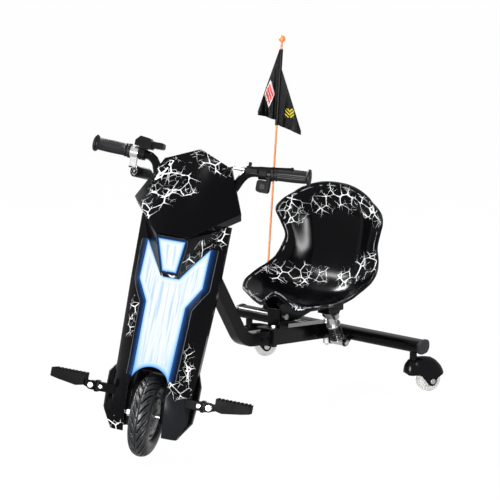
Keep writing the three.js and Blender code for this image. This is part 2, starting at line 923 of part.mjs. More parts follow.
function lockScrewHole() {
  return rod(
    onTube(lockScrewAcross, lockScrewAlong, 0),
    onTube(lockScrewAcross, lockScrewAlong, sleeveHalfHeight + collarWall + overrun),
    lockScrewRadius + gap,
    boltSides,
  );
}

function lengthLockBolt() {
  const top = sleeveHalfHeight + collarWall + gap;
  const place = (above) => onTube(lockScrewAcross, lockScrewAlong, above);
  const shaft = rod(place(tubeHeight / 2 + gap), place(top + lap), lockScrewRadius, boltSides);
  return joined(shaft, rod(place(top), place(top + lockScrewHead), lockScrewHead, nutSides));
}

// Rear cross tube with the shock's ears, its caps and the junction bolt

function crossOutline(extra) {
  const depth = crossDepth + 2 * extra;
  const height = crossHeight + 2 * extra;
  return roundedBox([crossY, crossZ], depth, height, (height - crossFlat) / 2, 7);
}

function crossBar(extra) {
  return prism(crossOutline(extra), sidePlane, -crossHalfLength, crossHalfLength);
}

function junctionHole() {
  const reach = crossHeight + sleeveHalfHeight;
  return rod(
    vec(0, junctionBoltY, crossZ - reach),
    vec(0, junctionBoltY, crossZ + reach),
    junctionBoltRadius + gap,
    boltSides,
  );
}

function ringPoints(x, centre, radius) {
  return circle(centre, radius, boltSides).map(([y, z]) => vec(x, y, z));
}

function shockEar(side) {
  const inside = shockX + side * (shockLowHalfWidth + gap);
  const outside = inside + side * earPlate;
  const root = [crossY - crossDepth / 2 + crossHeight / 2, crossZ];
  const shape = hull(
    [inside, outside].flatMap((x) => [
      ...ringPoints(x, [shockLowY, shockLowZ], shockEyeRadius + lap),
      ...ringPoints(x, root, shockEyeRadius),
    ]),
  );
  return shape;
}

function lowBoltHole() {
  const reach = shockLowHalfWidth + earPlate + overrun;
  return rod(
    vec(shockX - reach, shockLowY, shockLowZ),
    vec(shockX + reach, shockLowY, shockLowZ),
    shockBoltRadius + gap,
    boltSides,
  );
}

function rearCrossTube() {
  const core = prism(
    crossOutline(-crossWall),
    sidePlane,
    -crossHalfLength - overrun,
    crossHalfLength + overrun,
  );
  const body = cut(joined(crossBar(0), shockEar(1), shockEar(-1)), core);
  const stemHoles = [-1, 1].map((side) =>
    rod(
      vec(side * casterX, crossY, crossZ - crossHeight),
      vec(side * casterX, crossY, crossZ),
      stemPinRadius + gap,
      boltSides,
    ),
  );
  return cut(body, lowBoltHole(), junctionHole(), ...stemHoles);
}

function tubeCap(side) {
  const ends = [side * (crossHalfLength + gap), side * (crossHalfLength + gap + capLength)];
  const face = side * (crossHalfLength + gap + lap);
  const inside = side * (crossHalfLength - capPlug);
  const lip = prism(crossOutline(capLip), sidePlane, ...between(...ends));
  const plug = prism(crossOutline(-crossWall - gap), sidePlane, ...between(face, inside));
  return joined(lip, plug);
}

function junctionBolt() {
  const low = onTube(0, (junctionBoltY - bendY) / Math.cos(rearDrop), -sleeveHalfHeight);
  const high = onTube(0, (junctionBoltY - bendY) / Math.cos(rearDrop), sleeveHalfHeight);
  const slack = junctionNutRadius * Math.sin(rearDrop) + gap;
  const place = (z) => vec(0, junctionBoltY, z);
  const nutTop = low.z - slack;
  const headLowZ = high.z + slack;
  const shaft = rod(
    place(nutTop - junctionNutHeight - junctionBoltRadius),
    place(headLowZ + lap),
    junctionBoltRadius,
    boltSides,
  );
  const flange = rod(place(nutTop - junctionBoltRadius), place(nutTop), junctionNutRadius);
  const nutRadius = junctionHexShare * junctionNutRadius;
  const headRadius = junctionHeadShare * junctionNutRadius;
  const nut = rod(place(nutTop - junctionNutHeight), place(nutTop - lap), nutRadius, nutSides);
  const head = rod(place(headLowZ), place(headLowZ + junctionBoltRadius), headRadius, nutSides);
  return joined(shaft, flange, nut, head);
}

// Seat riser on the sleeve, with the pivot bolt

function seatRiser() {
  const rear = riserFront + riserLength;
  const foot = bendZ - riserLength;
  const outside = block(vec(-riserHalfWidth, riserFront, foot), vec(riserHalfWidth, rear, riserTop));
  const inner = riserHalfWidth - riserWall;
  const inside = block(
    vec(-inner, riserFront + riserWall, foot - overrun),
    vec(inner, rear - riserWall, riserTop + overrun),
  );
  const below = alongTube(
    2 * riserHalfWidth,
    0,
    sleeveRear,
    -2 * sleeveHalfHeight - riserLength,
    sleeveHalfHeight + gap,
  );
  return cut(outside, inside, below, pivotHole());
}

function pivotHole() {
  const reach = riserHalfWidth + bracketPlate + overrun;
  return rod(vec(-reach, pivotY, pivotZ), vec(reach, pivotY, pivotZ), pivotBoltRadius + gap, boltSides);
}

function seatPivotBolt() {
  const face = riserHalfWidth + bracketPlate + 2 * gap;
  const line = (x) => vec(x, pivotY, pivotZ);
  const shaft = rod(line(-face - lap), line(face + lap), pivotBoltRadius, boltSides);
  const headRadius = pivotHeadShare * pivotBoltRadius;
  const head = rod(line(face), line(face + pivotBoltRadius), headRadius, boltSides);
  const nut = rod(line(-face - pivotBoltRadius), line(-face), headRadius, nutSides);
  return joined(shaft, head, nut);
}

// Seat surface: rows of centre (depth, height) and edge (width, depth, height), as shares of the seat
const seatRowShares = [
  [0.03, 0.042, 0.66, 0.158, 0.078],
  [0.045, 0.085, 0.87, 0.225, 0.118],
  [0.135, 0.063, 0.99, 0.35, 0.162],
  [0.286, 0.031, 1.01, 0.475, 0.196],
  [0.455, 0.003, 1.01, 0.6, 0.226],
  [0.623, 0.013, 0.99, 0.7, 0.25],
  [0.758, 0.069, 0.955, 0.808, 0.302],
  [0.849, 0.189, 0.915, 0.87, 0.384],
  [0.892, 0.346, 0.868, 0.895, 0.49],
  [0.919, 0.535, 0.932, 0.872, 0.61],
  [0.939, 0.708, 1, 0.848, 0.723],
  [0.96, 0.865, 0.932, 0.885, 0.802],
  [0.983, 1, 0.727, 0.926, 0.887],
];
const seatHumpShares = [1, 0.96, 0.62, 0.22, 0];
const seatDepthCurveShare = 1.7;
const seatRiseCurveShare = 2.4;
const seatStepShare = 0.01;
const lipRows = 3;

const seatCentres = new THREE.CatmullRomCurve3(
  seatRowShares.map(([y, z]) => vec(0, seatFront + y * seatDepth, seatLow + z * seatHeight)),
);
const seatEdges = new THREE.CatmullRomCurve3(
  seatRowShares.map(([, , x, y, z]) =>
    vec(x * seatHalfWidth, seatFront + y * seatDepth, seatLow + z * seatHeight),
  ),
);

function humpAt(rowPlace) {
  const before = Math.floor(rowPlace);
  const one = seatHumpShares[before] ?? 0;
  const two = seatHumpShares[before + 1] ?? 0;
  return one + (two - one) * (rowPlace - before);
}

// A point of the seat's upper face: across from -1 to 1, along from 0 at the front lip to 1 at the top.
function seatPoint(across, along) {
  const centre = seatCentres.getPoint(along);
  const edge = seatEdges.getPoint(along);
  const side = Math.abs(across);
  const x = edge.x * across;
  const nearHump = Math.min(1, Math.abs(x) / seatHumpHalfWidth);
  const bump = Math.cos((nearHump * Math.PI) / 2) ** 2;
  const lift = seatHump * humpAt(along * (seatRowShares.length - 1)) * bump;
  return vec(
    x,
    centre.y + (edge.y - centre.y) * side ** seatDepthCurveShare,
    centre.z + (edge.z - centre.z) * side ** seatRiseCurveShare + lift,
  );
}

// A grid of the seat's surface, moved down or back from its upper face by a distance.
function seatGrid(distance) {
  return Array.from({ length: seatRowSteps + 1 }, (_, i) =>
    Array.from({ length: seatColumnSteps + 1 }, (_, j) => {
      const along = i / seatRowSteps;
      const across = (2 * j) / seatColumnSteps - 1;
      const [left, right] = [Math.max(-1, across - seatStepShare), Math.min(1, across + seatStepShare)];
      const [low, high] = [Math.max(0, along - seatStepShare), Math.min(1, along + seatStepShare)];
      const acrossRun = seatPoint(right, along).sub(seatPoint(left, along));
      const alongRun = seatPoint(across, high).sub(seatPoint(across, low));
      const outward = alongRun.cross(acrossRun).normalize();
      return seatPoint(across, along).addScaledVector(outward, distance);
    }),
  );
}

// The room of the shell and the rider above it, cut out of what stands under the seat
const seatClear = sheetBetween(
  seatGrid(0).map((row) => row.map((p) => p.add(vec(0, -seatHump, seatHump)))),
  seatGrid(seatWall + gap),
);

// The room ahead of the shell's front lip
const lipClear = sheetBetween(
  seatGrid(0).map((row) => row.map((p) => p.add(vec(0, -seatHump, 0)))).slice(0, lipRows),
  seatGrid(seatWall + gap).slice(0, lipRows),
);

function seatShell() {
  return sheetBetween(seatGrid(0), seatGrid(seatWall));
}

// Seat bracket: side plates round the riser and a plate under the pan; outline as shares of its box
const bracketFront = 492;
const bracketPanFront = 534;
const bracketRear = 664;
const bracketLow = 205;
const bracketHigh = 272;
const bracketShares = [
  [0, 0.96],
  [0.07, 0.7],
  [0.12, 0.12],
  [0.3, 0],
  [0.56, 0],
  [1, 0.16],
  [1, 0.5],
  [0.75, 0.8],
  [0.45, 1],
  [0.12, 1],
];

function seatBracket() {
  const outline = bracketShares.map(([y, z]) => [
    bracketFront + y * (bracketRear - bracketFront),
    bracketLow + z * (bracketHigh - bracketLow),
  ]);
  const inside = riserHalfWidth + gap;
  const outside = inside + bracketPlate;
  const plates = [-1, 1].map((side) =>
    prism(outline, sidePlane, ...between(side * inside, side * outside)),
  );
  const underPan = sheetBetween(seatGrid(seatWall + gap), seatGrid(seatWall + gap + bracketPlate));
  const panRoom = block(
    vec(-outside, bracketPanFront, bracketLow),
    vec(outside, bracketRear, bracketHigh),
  );
  const pan = underPan.intersect(panRoom);
  return cut(joined(...plates.map((plate) => cut(plate, seatClear, lipClear)), pan), pivotHole());
}

// Shock: mount under the pan, bolts, barrel, rod with the lower eye, and spring

const shockTop = vec(shockX, shockTopY, shockTopZ);
const shockLow = vec(shockX, shockLowY, shockLowZ);
const shockLine = shockTop.clone().sub(shockLow).normalize();
const shockLength = shockTop.distanceTo(shockLow);
const upShock = (distance) => shockLow.clone().addScaledVector(shockLine, distance);

function shockTopMount() {
  const inside = shockTopHalfWidth + gap;
  const outside = inside + earPlate;
  const baseLow = shockTopZ + shockEyeRadius + 2 * lap;
  const base = block(
    vec(shockX - outside, shockTopY - shockMountHalfLength, baseLow),
    vec(shockX + outside, shockTopY + shockMountHalfLength, seatLow + 2 * seatWall),
  );
  const ears = [-1, 1].map((side) =>
    hull(
      [inside, outside].flatMap((x) => [
        ...ringPoints(shockX + side * x, [shockTopY, shockTopZ], shockEyeRadius),
        vec(shockX + side * x, shockTopY - 2 * shockEyeRadius, baseLow + lap),
        vec(shockX + side * x, shockTopY + 2 * shockEyeRadius, baseLow + lap),
      ]),
    ),
  );
  return cut(joined(base, ...ears), seatClear, topBoltHole(gap));
}

function topBoltHole(slack) {
  const reach = shockTopHalfWidth + earPlate + overrun;
  return rod(
    vec(shockX - reach, shockTopY, shockTopZ),
    vec(shockX + reach, shockTopY, shockTopZ),
    shockBoltRadius + slack,
    boltSides,
  );
}

function shockBolt(centre, halfWidth) {
  const face = halfWidth + earPlate + 2 * gap;
  const line = (x) => vec(shockX + x, centre.y, centre.z);
  const headWidth = shockBoltRadius + lap;
  const shaft = rod(line(-face - lap), line(face + lap), shockBoltRadius, boltSides);
  const head = rod(line(face), line(face + headWidth), 2 * shockBoltRadius, boltSides);
  const nut = rod(line(-face - headWidth), line(-face), 2 * shockBoltRadius, nutSides);
  return joined(shaft, head, nut);
}

function shockEye(centre, halfWidth, radius) {
  const line = (x) => vec(shockX + x, centre.y, centre.z);
  return rod(line(-halfWidth), line(halfWidth), radius);
}

function shockCylinder() {
  const eyeRadius = shockEyeRadius - lap;
  const down = (distance) => upShock(shockLength - distance);
  const barrel = rod(down(eyeRadius / 2), down(barrelReach), shockBarrelRadius);
  const perch = rod(down(barrelReach - perchPlate), down(barrelReach), perchRadius);
  const bore = rod(down(eyeRadius + bracketPlate), down(barrelReach + overrun), shockRodRadius + gap);
  const eye = shockEye(shockTop, shockTopHalfWidth, eyeRadius);
  return cut(joined(eye, barrel, perch), bore, topBoltHole(2 * gap));
}

function shockRod() {
  const rodTop = shockLength - shockEyeRadius - bracketPlate - shockStroke - lap;
  const perchLow = shockEyeRadius + lap;
  const stem = rod(upShock(shockEyeRadius / 2), upShock(rodTop), shockRodRadius);
  const perch = rod(upShock(perchLow), upShock(perchLow + perchPlate), perchRadius);
  const eye = shockEye(shockLow, shockLowHalfWidth, shockEyeRadius);
  return cut(joined(eye, stem, perch), lowBoltHole());
}

// The coil spring: one helix between the two perches, eight steps of five sides a turn
const springLow = shockEyeRadius + lap + perchPlate + springWire + gap;
const springHigh = shockLength - barrelReach - springWire - gap;
const springStepsPerTurn = 8;
const springSides = 5;

function springPoint(step) {
  const turn = step / springStepsPerTurn;
  const side = xAxis.clone();
  const back = shockLine.clone().cross(side);
  return upShock(springLow + ((springHigh - springLow) * turn) / springTurns)
    .addScaledVector(side, springRadius * Math.cos(2 * Math.PI * turn))
    .addScaledVector(back, springRadius * Math.sin(2 * Math.PI * turn));
}

function shockSpring() {
  const steps = Math.round(springTurns * springStepsPerTurn);
  const rings = Array.from({ length: steps + 1 }, (_, i) => {
    const here = springPoint(i);
    const run = springPoint(i + 1).sub(springPoint(i - 1)).normalize();
    const onLine = here.clone().sub(shockLow).dot(shockLine);
    const out = here.clone().sub(upShock(onLine)).normalize();
    const over = run.clone().cross(out);
    return circle([0, 0], springWire, springSides).map(([a, b]) =>
      here.clone().addScaledVector(out, a).addScaledVector(over, b),
    );
  });
  return loft(rings);
}

function springSelfGap() {
  const steps = Math.round(springTurns * springStepsPerTurn);
  let least = Infinity;
  for (let i = 0; i + springStepsPerTurn <= steps; i++) {
    const there = springPoint(i + springStepsPerTurn);
    least = Math.min(least, springPoint(i).distanceTo(there) - 2 * springWire);
  }
  return least;
}
console.log("least gap of the spring to itself: " + springSelfGap().toFixed(2) + " mm");

// Casters: hood rows as shares of length, half width and top height
const hoodRowShares = [
  [0, 0.3, 0.62],
  [0.04, 0.62, 0.8],
  [0.13, 0.86, 0.93],
  [0.3, 1, 1],
  [0.5, 1, 0.98],
  [0.68, 1, 0.93],
  [0.82, 0.96, 0.81],
  [0.92, 0.85, 0.66],
  [0.98, 0.66, 0.52],
  [1, 0.5, 0.44],
];
// The hood's lower edge seen from the side, as shares of its length and height, round the leg's boss
const hoodEdgeShares = [
  [0, 0.52],
  [0.06, 0.43],
  [0.14, 0.42],
  [0.3, 0.42],
  [0.4, 0.33],
];
const hoodTailShares = [
  [0.79, 0.26],
  [1, 0.38],
];
const hoodArchSteps = 8;
const hoodBossStart = 1.15 * Math.PI;

function hoodRing([along, wide, high], wall) {
  const halfWidth = wide * hoodHalfWidth - wall;
  const top = hoodLow + high * hoodHeight - wall;
  const base = hoodLow - (wall > 0 ? overrun : 0);
  return Array.from({ length: hoodArchSteps + 1 }, (_, i) => {
    const angle = (Math.PI * i) / hoodArchSteps;
    const rise = Math.sqrt(Math.sin(angle));
    return vec(hoodFront + along * hoodLength, halfWidth * Math.cos(angle), base + (top - base) * rise);
  });
}

function hoodSide() {
  const place = ([along, rise]) => [hoodFront + along * hoodLength, hoodLow + rise * hoodHeight];
  const hub = [casterTrail, casterWheelRadius];
  const boss = arc(hub, hoodLegRadius, hoodBossStart, 2 * Math.PI, hoodArchSteps);
  const above = hoodLow + hoodHeight + overrun;
  const [front, rear] = [hoodFront - overrun, hoodFront + hoodLength + overrun];
  return prism(
    [
      [front, above],
      [front, hoodLow + hoodEdgeShares[0][1] * hoodHeight],
      ...hoodEdgeShares.map(place),
      ...boss,
      ...hoodTailShares.map(place),
      [rear, hoodLow + hoodTailShares[1][1] * hoodHeight],
      [rear, above],
    ],
    [xAxis, zAxis, vec(0, -1, 0)],
    -hoodHalfWidth - overrun,
    hoodHalfWidth + overrun,
  );
}

function casterHood() {
  const shell = loft(hoodRowShares.map((row) => hoodRing(row, 0))).intersect(hoodSide());
  const hollow = loft(hoodRowShares.slice(2, -1).map((row) => hoodRing(row, hoodWall)));
  const tubeBottom = crossZ - crossHeight / 2;
  const line = (z) => vec(0, 0, z);
  const stem = rod(line(hoodLow + hoodHeight / 2), line(tubeBottom - gap), stemRadius);
  const pin = rod(line(tubeBottom - lap), line(tubeBottom + stemPinReach), stemPinRadius, boltSides);
  const wheelRoom = rod(
    vec(casterTrail, -casterWheelHalfWidth - 2 * lap, casterWheelRadius),
    vec(casterTrail, casterWheelHalfWidth + 2 * lap, casterWheelRadius),
    casterWheelRadius + hoodWall,
  );
  const stemCore = rod(line(0), line(crossZ), stemRadius + hoodWall);
  const hood = cut(shell, cut(hollow, stemCore));
  return cut(joined(hood, stem, pin), wheelRoom, casterAxleHole());
}

function casterAxleHole() {
  const reach = hoodHalfWidth + overrun;
  return rod(
    vec(casterTrail, -reach, casterWheelRadius),
    vec(casterTrail, reach, casterWheelRadius),
    casterAxleRadius + gap,
    boltSides,
  );
}

function casterAxle() {
  const face = hoodHalfWidth + gap;
  const line = (y) => vec(casterTrail, y, casterWheelRadius);
  const headWidth = casterBoltHead / 2;
  const shaft = rod(line(-face - lap), line(face + lap), casterAxleRadius, boltSides);
  const heads = [-1, 1].map((side) =>
    rod(line(side * face), line(side * (face + headWidth)), casterBoltHead, boltSides),
  );
  return joined(shaft, ...heads);
}

function casterWheel() {
  const half = casterWheelHalfWidth;
  const crown = arc([0, 0], 1, Math.PI, 0, 6).map(([across, rise]) => [
    casterWheelRadius * (1 - casterCrownShare + casterCrownShare * Math.sqrt(rise)),
    across * half,
  ]);
  const hubHalf = half + lap;
  const hubRadius = 2 * casterAxleRadius;
  const profile = [
    [casterAxleRadius + gap, -hubHalf],
    [hubRadius, -hubHalf],
    [hubRadius, -half],
    ...crown,
    [hubRadius, half],
    [hubRadius, hubHalf],
    [casterAxleRadius + gap, hubHalf],
  ];
  return turned(profile, vec(casterTrail, 0, casterWheelRadius), yAxis, wheelSides);
}

// Flag: socket, pole, ball and cloth

const poleFoot = vec(poleX, crossY, crossZ + crossHeight / 2 + gap);
const poleLine = vec(0, Math.sin(poleLean), Math.cos(poleLean));
const onPole = (distance) => poleFoot.clone().addScaledVector(poleLine, distance);

function flagSocket() {
  const tube = rod(onPole(-overrun), onPole(socketHeight), socketRadius, roundSides);
  const footHalf = 2 * socketRadius;
  const foot = block(
    vec(poleX - footHalf, crossY - socketRadius - 2 * lap, crossZ),
    vec(poleX + footHalf, crossY + socketRadius + 2 * lap, poleFoot.z + bracketPlate),
  );
  const bore = rod(onPole(overrun), onPole(socketHeight + overrun), poleRadius + gap, boltSides);
  return cut(joined(tube, foot), bore, crossBar(gap));
}

function flagPole() {
  return rod(onPole(overrun + gap), onPole(poleLength - gap), poleRadius, boltSides);
}

function flagBall() {
  const ball = new THREE.SphereGeometry(ballRadius, roundSides, boltSides);
  const middle = onPole(poleLength);
  const hole = rod(onPole(poleLength - 2 * ballRadius), onPole(poleLength), poleRadius + gap, boltSides);
  return cut(solid(ball.translate(middle.x, middle.y, middle.z)), hole);
}

const clothRight = vec(Math.cos(flagTurn), Math.sin(flagTurn), 0);
const clothFront = vec(Math.sin(flagTurn), -Math.cos(flagTurn), 0);
const flagColumnSteps = 22;
const flagRowSteps = 10;
// Top and bottom of the wings as shares of the flag's height, at the pole and at the tip
const leftWingShares = { top: [0, 0.8], bottom: [0.95, 0.865] };
const rightWingShares = { top: [0.25, 1.03], bottom: [1, 1.12] };
const flagSleeveShare = 0.14;
const flagWaveShare = 1.3;
const flagTopFoldShare = 0.25;
const rightFoldShare = 0.45;

function flagPoint(across, down, lift) {
  const side = Math.abs(across);
  const wing = across < 0 ? leftWingShares : rightWingShares;
  const width = across < 0 ? flagLeft : flagRight;
  const nearPole = Math.max(0, 1 - side / flagSleeveShare);
  const topShare = (wing.top[0] + (wing.top[1] - wing.top[0]) * side) * (1 - nearPole);
  const lowShare = wing.bottom[0] + (wing.bottom[1] - wing.bottom[0]) * side;
  const drop = (topShare + (lowShare - topShare) * down) * flagHeight;
  const deepening = flagTopFoldShare + (1 - flagTopFoldShare) * down;
  const fold = flagFold * deepening * (across < 0 ? 1 : rightFoldShare);
  const wave = fold * Math.sin(side * flagWaveShare * 2 * Math.PI);
  const wrap = flagSleeve * Math.sqrt(Math.max(0, 1 - (side / flagSleeveShare) ** 2));
  const hanging = side > flagSleeveShare ? wave - flagFold * flagTopFoldShare : 0;
  return onPole(poleLength - flagDrop - drop)
    .addScaledVector(clothRight, width * across)
    .addScaledVector(clothFront, wrap + hanging + lift);
}

function flagCloth() {
  const grid = (lift) =>
    Array.from({ length: flagRowSteps + 1 }, (_, i) =>
      Array.from({ length: flagColumnSteps + 1 }, (_, j) =>
        flagPoint((2 * j) / flagColumnSteps - 1, i / flagRowSteps, lift),
      ),
    );
  const poleRoom = rod(onPole(poleLength / 2), onPole(poleLength), poleRadius + gap, boltSides);
  return cut(sheetBetween(grid(0), grid(flagThickness)), poleRoom);
}

// Handlebar, stem and grips

const barAlong = (across) => barEndAlong - (gripOuter - Math.abs(across)) * barSlopeShare;
const onBar = (across) => at(across, -barBehind, barAlong(across));
const barLeft = onBar(barEnd).sub(onBar(barStraightFrom)).normalize();

// The bar drops between its straight ends to the clamp in the middle.
function barPath() {
  const path = new THREE.CurvePath();
  const middle = at(barMiddleHalf, -barClampBehind, barClampAlong);
  const reach = barBendShare * (barStraightFrom - barMiddleHalf);
  const bend = (side) => {
    const flip = (p) => vec(side * p.x, p.y, p.z);
    const straight = onBar(barStraightFrom);
    const outer = straight.clone().addScaledVector(barLeft, -reach);
    const inner = middle.clone().add(vec(reach, 0, 0));
    return [straight, outer, inner, middle].map(flip);
  };
  path.add(new THREE.LineCurve3(onBar(-barEnd), onBar(-barStraightFrom)));
  path.add(new THREE.CubicBezierCurve3(...bend(-1)));
  path.add(new THREE.LineCurve3(bend(-1)[3], bend(1)[3]));
  path.add(new THREE.CubicBezierCurve3(...bend(1).reverse()));
  path.add(new THREE.LineCurve3(onBar(barStraightFrom), onBar(barEnd)));
  return path;
}

function barTube(extra) {
  return sweep(barPath(), barRadius + extra, 48, 12);
}

function barBore(from, to) {
  return rod(onBar(from), onBar(to), barRadius + gap);
}

function barRing(from, to, radius = clampRadius) {
  return rod(onBar(from), onBar(to), radius);
}

function handlebarStem() {
  const back = -barClampBehind - barRadius - stemWall;
  const front = steererRadius + stemWall;
  const outline = [
    [back, stemLow + 2 * stemWall],
    [back, stemHigh - stemWall],
    [back + stemWall, stemHigh],
    [front - stemWall, stemHigh - stemWall],
    [front, stemHigh - 2 * stemWall],
    [front, stemLow],
    [-steererRadius - stemWall, stemLow],
  ];
  const plane = [vec(0, -1, 0), zAxis, vec(-1, 0, 0)];
  const body = prism(outline, plane, -stemHalfWidth, stemHalfWidth);
  const steererRoom = rod(at(0, 0, stemLow - overrun), at(0, 0, steererTop + gap), steererRadius + gap);
  const barRoom = rod(
    at(-stemHalfWidth - overrun, -barClampBehind, barClampAlong),
    at(stemHalfWidth + overrun, -barClampBehind, barClampAlong),
    barRadius + gap,
  );
  return cut(body, steererRoom, barRoom);
}

function grip(side) {
  const length = gripOuter - gripInner;
  const bore = barRadius + gap;
  const depth = length - (gripOuter - barEnd) + gap;
  const profile = [
    [0, length],
    [gripFlangeRadius - gripChamfer, length],
    [gripFlangeRadius, length - gripChamfer],
    [gripFlangeRadius, length - gripFlangeWidth],
    [gripRadius, length - gripFlangeWidth],
    [gripRadius, gripFlangeWidth + gripChamfer],
    [gripRadius + gripChamfer, gripFlangeWidth],
    [gripRadius + gripChamfer, 0],
    [bore, 0],
    [bore, depth],
    [0, depth],
  ];
  const outward = barLeft.clone();
  outward.x *= side;
  return turned(profile, onBar(side * gripInner), outward);
}

// Throttle on the rider's right: housing outline as shares of its length and height
const throttleOuter = -171;
const throttleInner = -128;
const throttleLow = 643;
const throttleHigh = 668;
const throttleHalfDepth = 15;
const throttleShares = [
  [0, 0],
  [0, 0.5],
  [0.28, 1],
  [0.85, 0.86],
  [1, 0.5],
  [1, -0.2],
  [0.3, -0.2],
  [0.28, 0],
];
const throttleRingOuter = -157;
const throttleRingInner = -142;
const leverPivotAlong = 650;
const leverReach = 30;
const leverHalfDepth = 12;
const leverHalfHeight = 8;
const leverHubWidth = 5;
const leverHubShare = 0.8;

function throttleHousing() {
  const outline = throttleShares.map(([across, rise]) => [
    throttleOuter + across * (throttleInner - throttleOuter),
    throttleLow + rise * (throttleHigh - throttleLow),
  ]);
  const depth = [-barBehind - throttleHalfDepth, -barBehind + throttleHalfDepth];
  const body = prism(outline.reverse(), aheadPlane, ...depth);
  const ring = barRing(throttleRingOuter, throttleRingInner);
  const neck = block(
    at(throttleRingOuter, -barBehind - leverHalfDepth, barAlong(throttleRingOuter)),
    at(throttleRingInner, -barBehind + leverHalfDepth, throttleLow + lap),
  );
  return cut(joined(body, ring, neck), barBore(throttleOuter - overrun, throttleInner));
}

function throttleLever() {
  const start = throttleInner + gap;
  const hub = rod(
    at(start, -barBehind, leverPivotAlong),
    at(start + leverHubWidth, -barBehind, leverPivotAlong),
    leverHalfDepth * leverHubShare,
  );
  const low = leverPivotAlong - leverHalfHeight;
  const high = leverPivotAlong + leverHalfHeight;
  const blade = roundedBox(
    [start + leverReach / 2, (low + high) / 2],
    leverReach,
    high - low,
    leverHubWidth,
  );
  return joined(
    hub,
    prism(blade, aheadPlane, -barBehind - leverHalfDepth, -barBehind + leverHalfDepth),
  );
}

// Horn on its clamp, under the bar on the rider's right
const hornAcross = -163;
const hornBehind = 42;
const hornAlong = 579;
const hornRadius = 14.5;
const hornLength = 55;
const hornTurn = THREE.MathUtils.degToRad(33);
const hornClampOuter = -180;
const hornClampInner = -160;
const hornRingShare = 0.8;
const hornBackShare = 0.7;

function horn() {
  const front = at(hornAcross, -hornBehind, hornAlong);
  const backward = at(Math.sin(hornTurn), -Math.cos(hornTurn), 0);
  const profile = [
    [0, lap],
    [hornRadius / 3, lap],
    [hornRadius / 3, 0],
    [hornRadius / 2, 0],
    [hornRadius / 2, 2 * lap],
    [hornRadius * hornRingShare, 2 * lap],
    [hornRadius * hornRingShare, 0],
    [hornRadius - lap, 0],
    [hornRadius, 2 * lap],
    [hornRadius, hornLength - 2 * stemWall],
    [hornRadius * hornBackShare, hornLength],
    [0, hornLength],
  ];
  const can = turned(profile, front, backward);
  const band = barRing(hornClampOuter, hornClampInner, clampRadius - lap);
  const strap = block(
    at(hornClampOuter + 2 * lap, -barBehind - hornRadius / 2, hornAlong + hornRadius / 2),
    at(hornClampInner - 2 * lap, -barBehind + hornRadius / 2, barAlong(hornClampInner) - barRadius - lap),
  );
  const bar = barBore(hornClampOuter - overrun, hornClampInner + overrun);
  return joined(can, cut(joined(band, strap), bar));
}

// Brake perch with its adjuster, lever, and the switch block, on the rider's left
const perchInner = 149;
const perchOuter = 170;
const perchBodyInner = 119;
const perchFront = 8;
const perchLowAlong = 619;
const perchHighAlong = 640;
const brakePivotAcross = 130;
const brakePivotAhead = -16;
const brakeLeverEnd = 236;
const brakeLeverAhead = -3;
const brakeLeverRise = 643;
const brakeLeverThick = 5;
const brakeLeverDeepShare = 0.8;
const adjusterRadius = 5;
const adjusterEnd = 90;
const adjusterAhead = -21;
const adjusterAlong = 626;

function brakePerch() {
  const body = block(
    at(perchBodyInner, -barBehind + barRadius, perchLowAlong),
    at(perchInner + 2 * lap, -perchFront, perchHighAlong - 2 * brakeLeverThick),
  );
  const arm = block(
    at(perchInner, -barBehind, perchLowAlong),
    at(perchOuter, -barBehind + clampRadius, perchHighAlong - 2 * brakeLeverThick),
  );
  const cap = rod(
    at(brakePivotAcross, brakePivotAhead, perchHighAlong - 2 * brakeLeverThick - lap),
    at(brakePivotAcross, brakePivotAhead, perchHighAlong + brakeLeverThick),
    pegPinRadius,
  );
  const barrel = rod(
    at(perchBodyInner + lap, adjusterAhead, adjusterAlong),
    at(adjusterEnd, adjusterAhead, adjusterAlong),
    adjusterRadius,
  );
  const knurl = rod(
    at(perchBodyInner - 2 * adjusterRadius, adjusterAhead, adjusterAlong),
    at(perchBodyInner - adjusterRadius, adjusterAhead, adjusterAlong),
    adjusterRadius + lap,
  );
  const ring = barRing(perchInner, perchOuter);
  const bar = barTube(gap);
  return cut(joined(body, arm, cap, barrel, knurl, ring), bar);
}

function brakeLever() {
  const low = perchHighAlong - 2 * brakeLeverThick + gap;
  const pivot = at(brakePivotAcross, brakePivotAhead, low);
  const hub = rod(pivot, pivot.clone().add(vec(0, 0, brakeLeverThick)), 2 * pegPinRadius);
  const tip = at(brakeLeverEnd, brakeLeverAhead, brakeLeverRise);
  const start = pivot.clone().add(vec(0, 0, brakeLeverThick / 2));
  const knee = at((brakePivotAcross + perchOuter) / 2, brakeLeverAhead, low + brakeLeverThick / 2);
  const blade = [
    [start, knee],
    [knee, tip],
  ].map(([one, other]) =>
    hull([one, other].flatMap((p) => leverSection(p))),
  );
  const end = new THREE.SphereGeometry(brakeLeverThick, boltSides, nutSides);
  const hole = rod(
    pivot.clone().add(vec(0, 0, -overrun)),
    pivot.clone().add(vec(0, 0, overrun)),
    pegPinRadius + gap,
  );
  return cut(joined(hub, ...blade, solid(end.translate(tip.x, tip.y, tip.z))), hole);
}

function leverSection(point) {
  const half = brakeLeverThick / 2;
  const deep = brakeLeverDeepShare * brakeLeverThick;
  return [-1, 1].flatMap((side) => [
    point.clone().add(vec(side * half, -deep, -half)),
    point.clone().add(vec(side * half, deep, -half)),
    point.clone().add(vec(side * half, -deep, half)),
    point.clone().add(vec(side * half, deep, half)),
  ]);
}

const switchInner = 149;
const switchOuter = 180.4;
const switchRingInner = 171;
const switchLow = 578;
const switchHigh = 608;
const switchHalfDepth = 12;
const buttonRadius = 7;
const buttonAlong = 592;
const buttonTravel = 2;
const buttonDepth = 6;

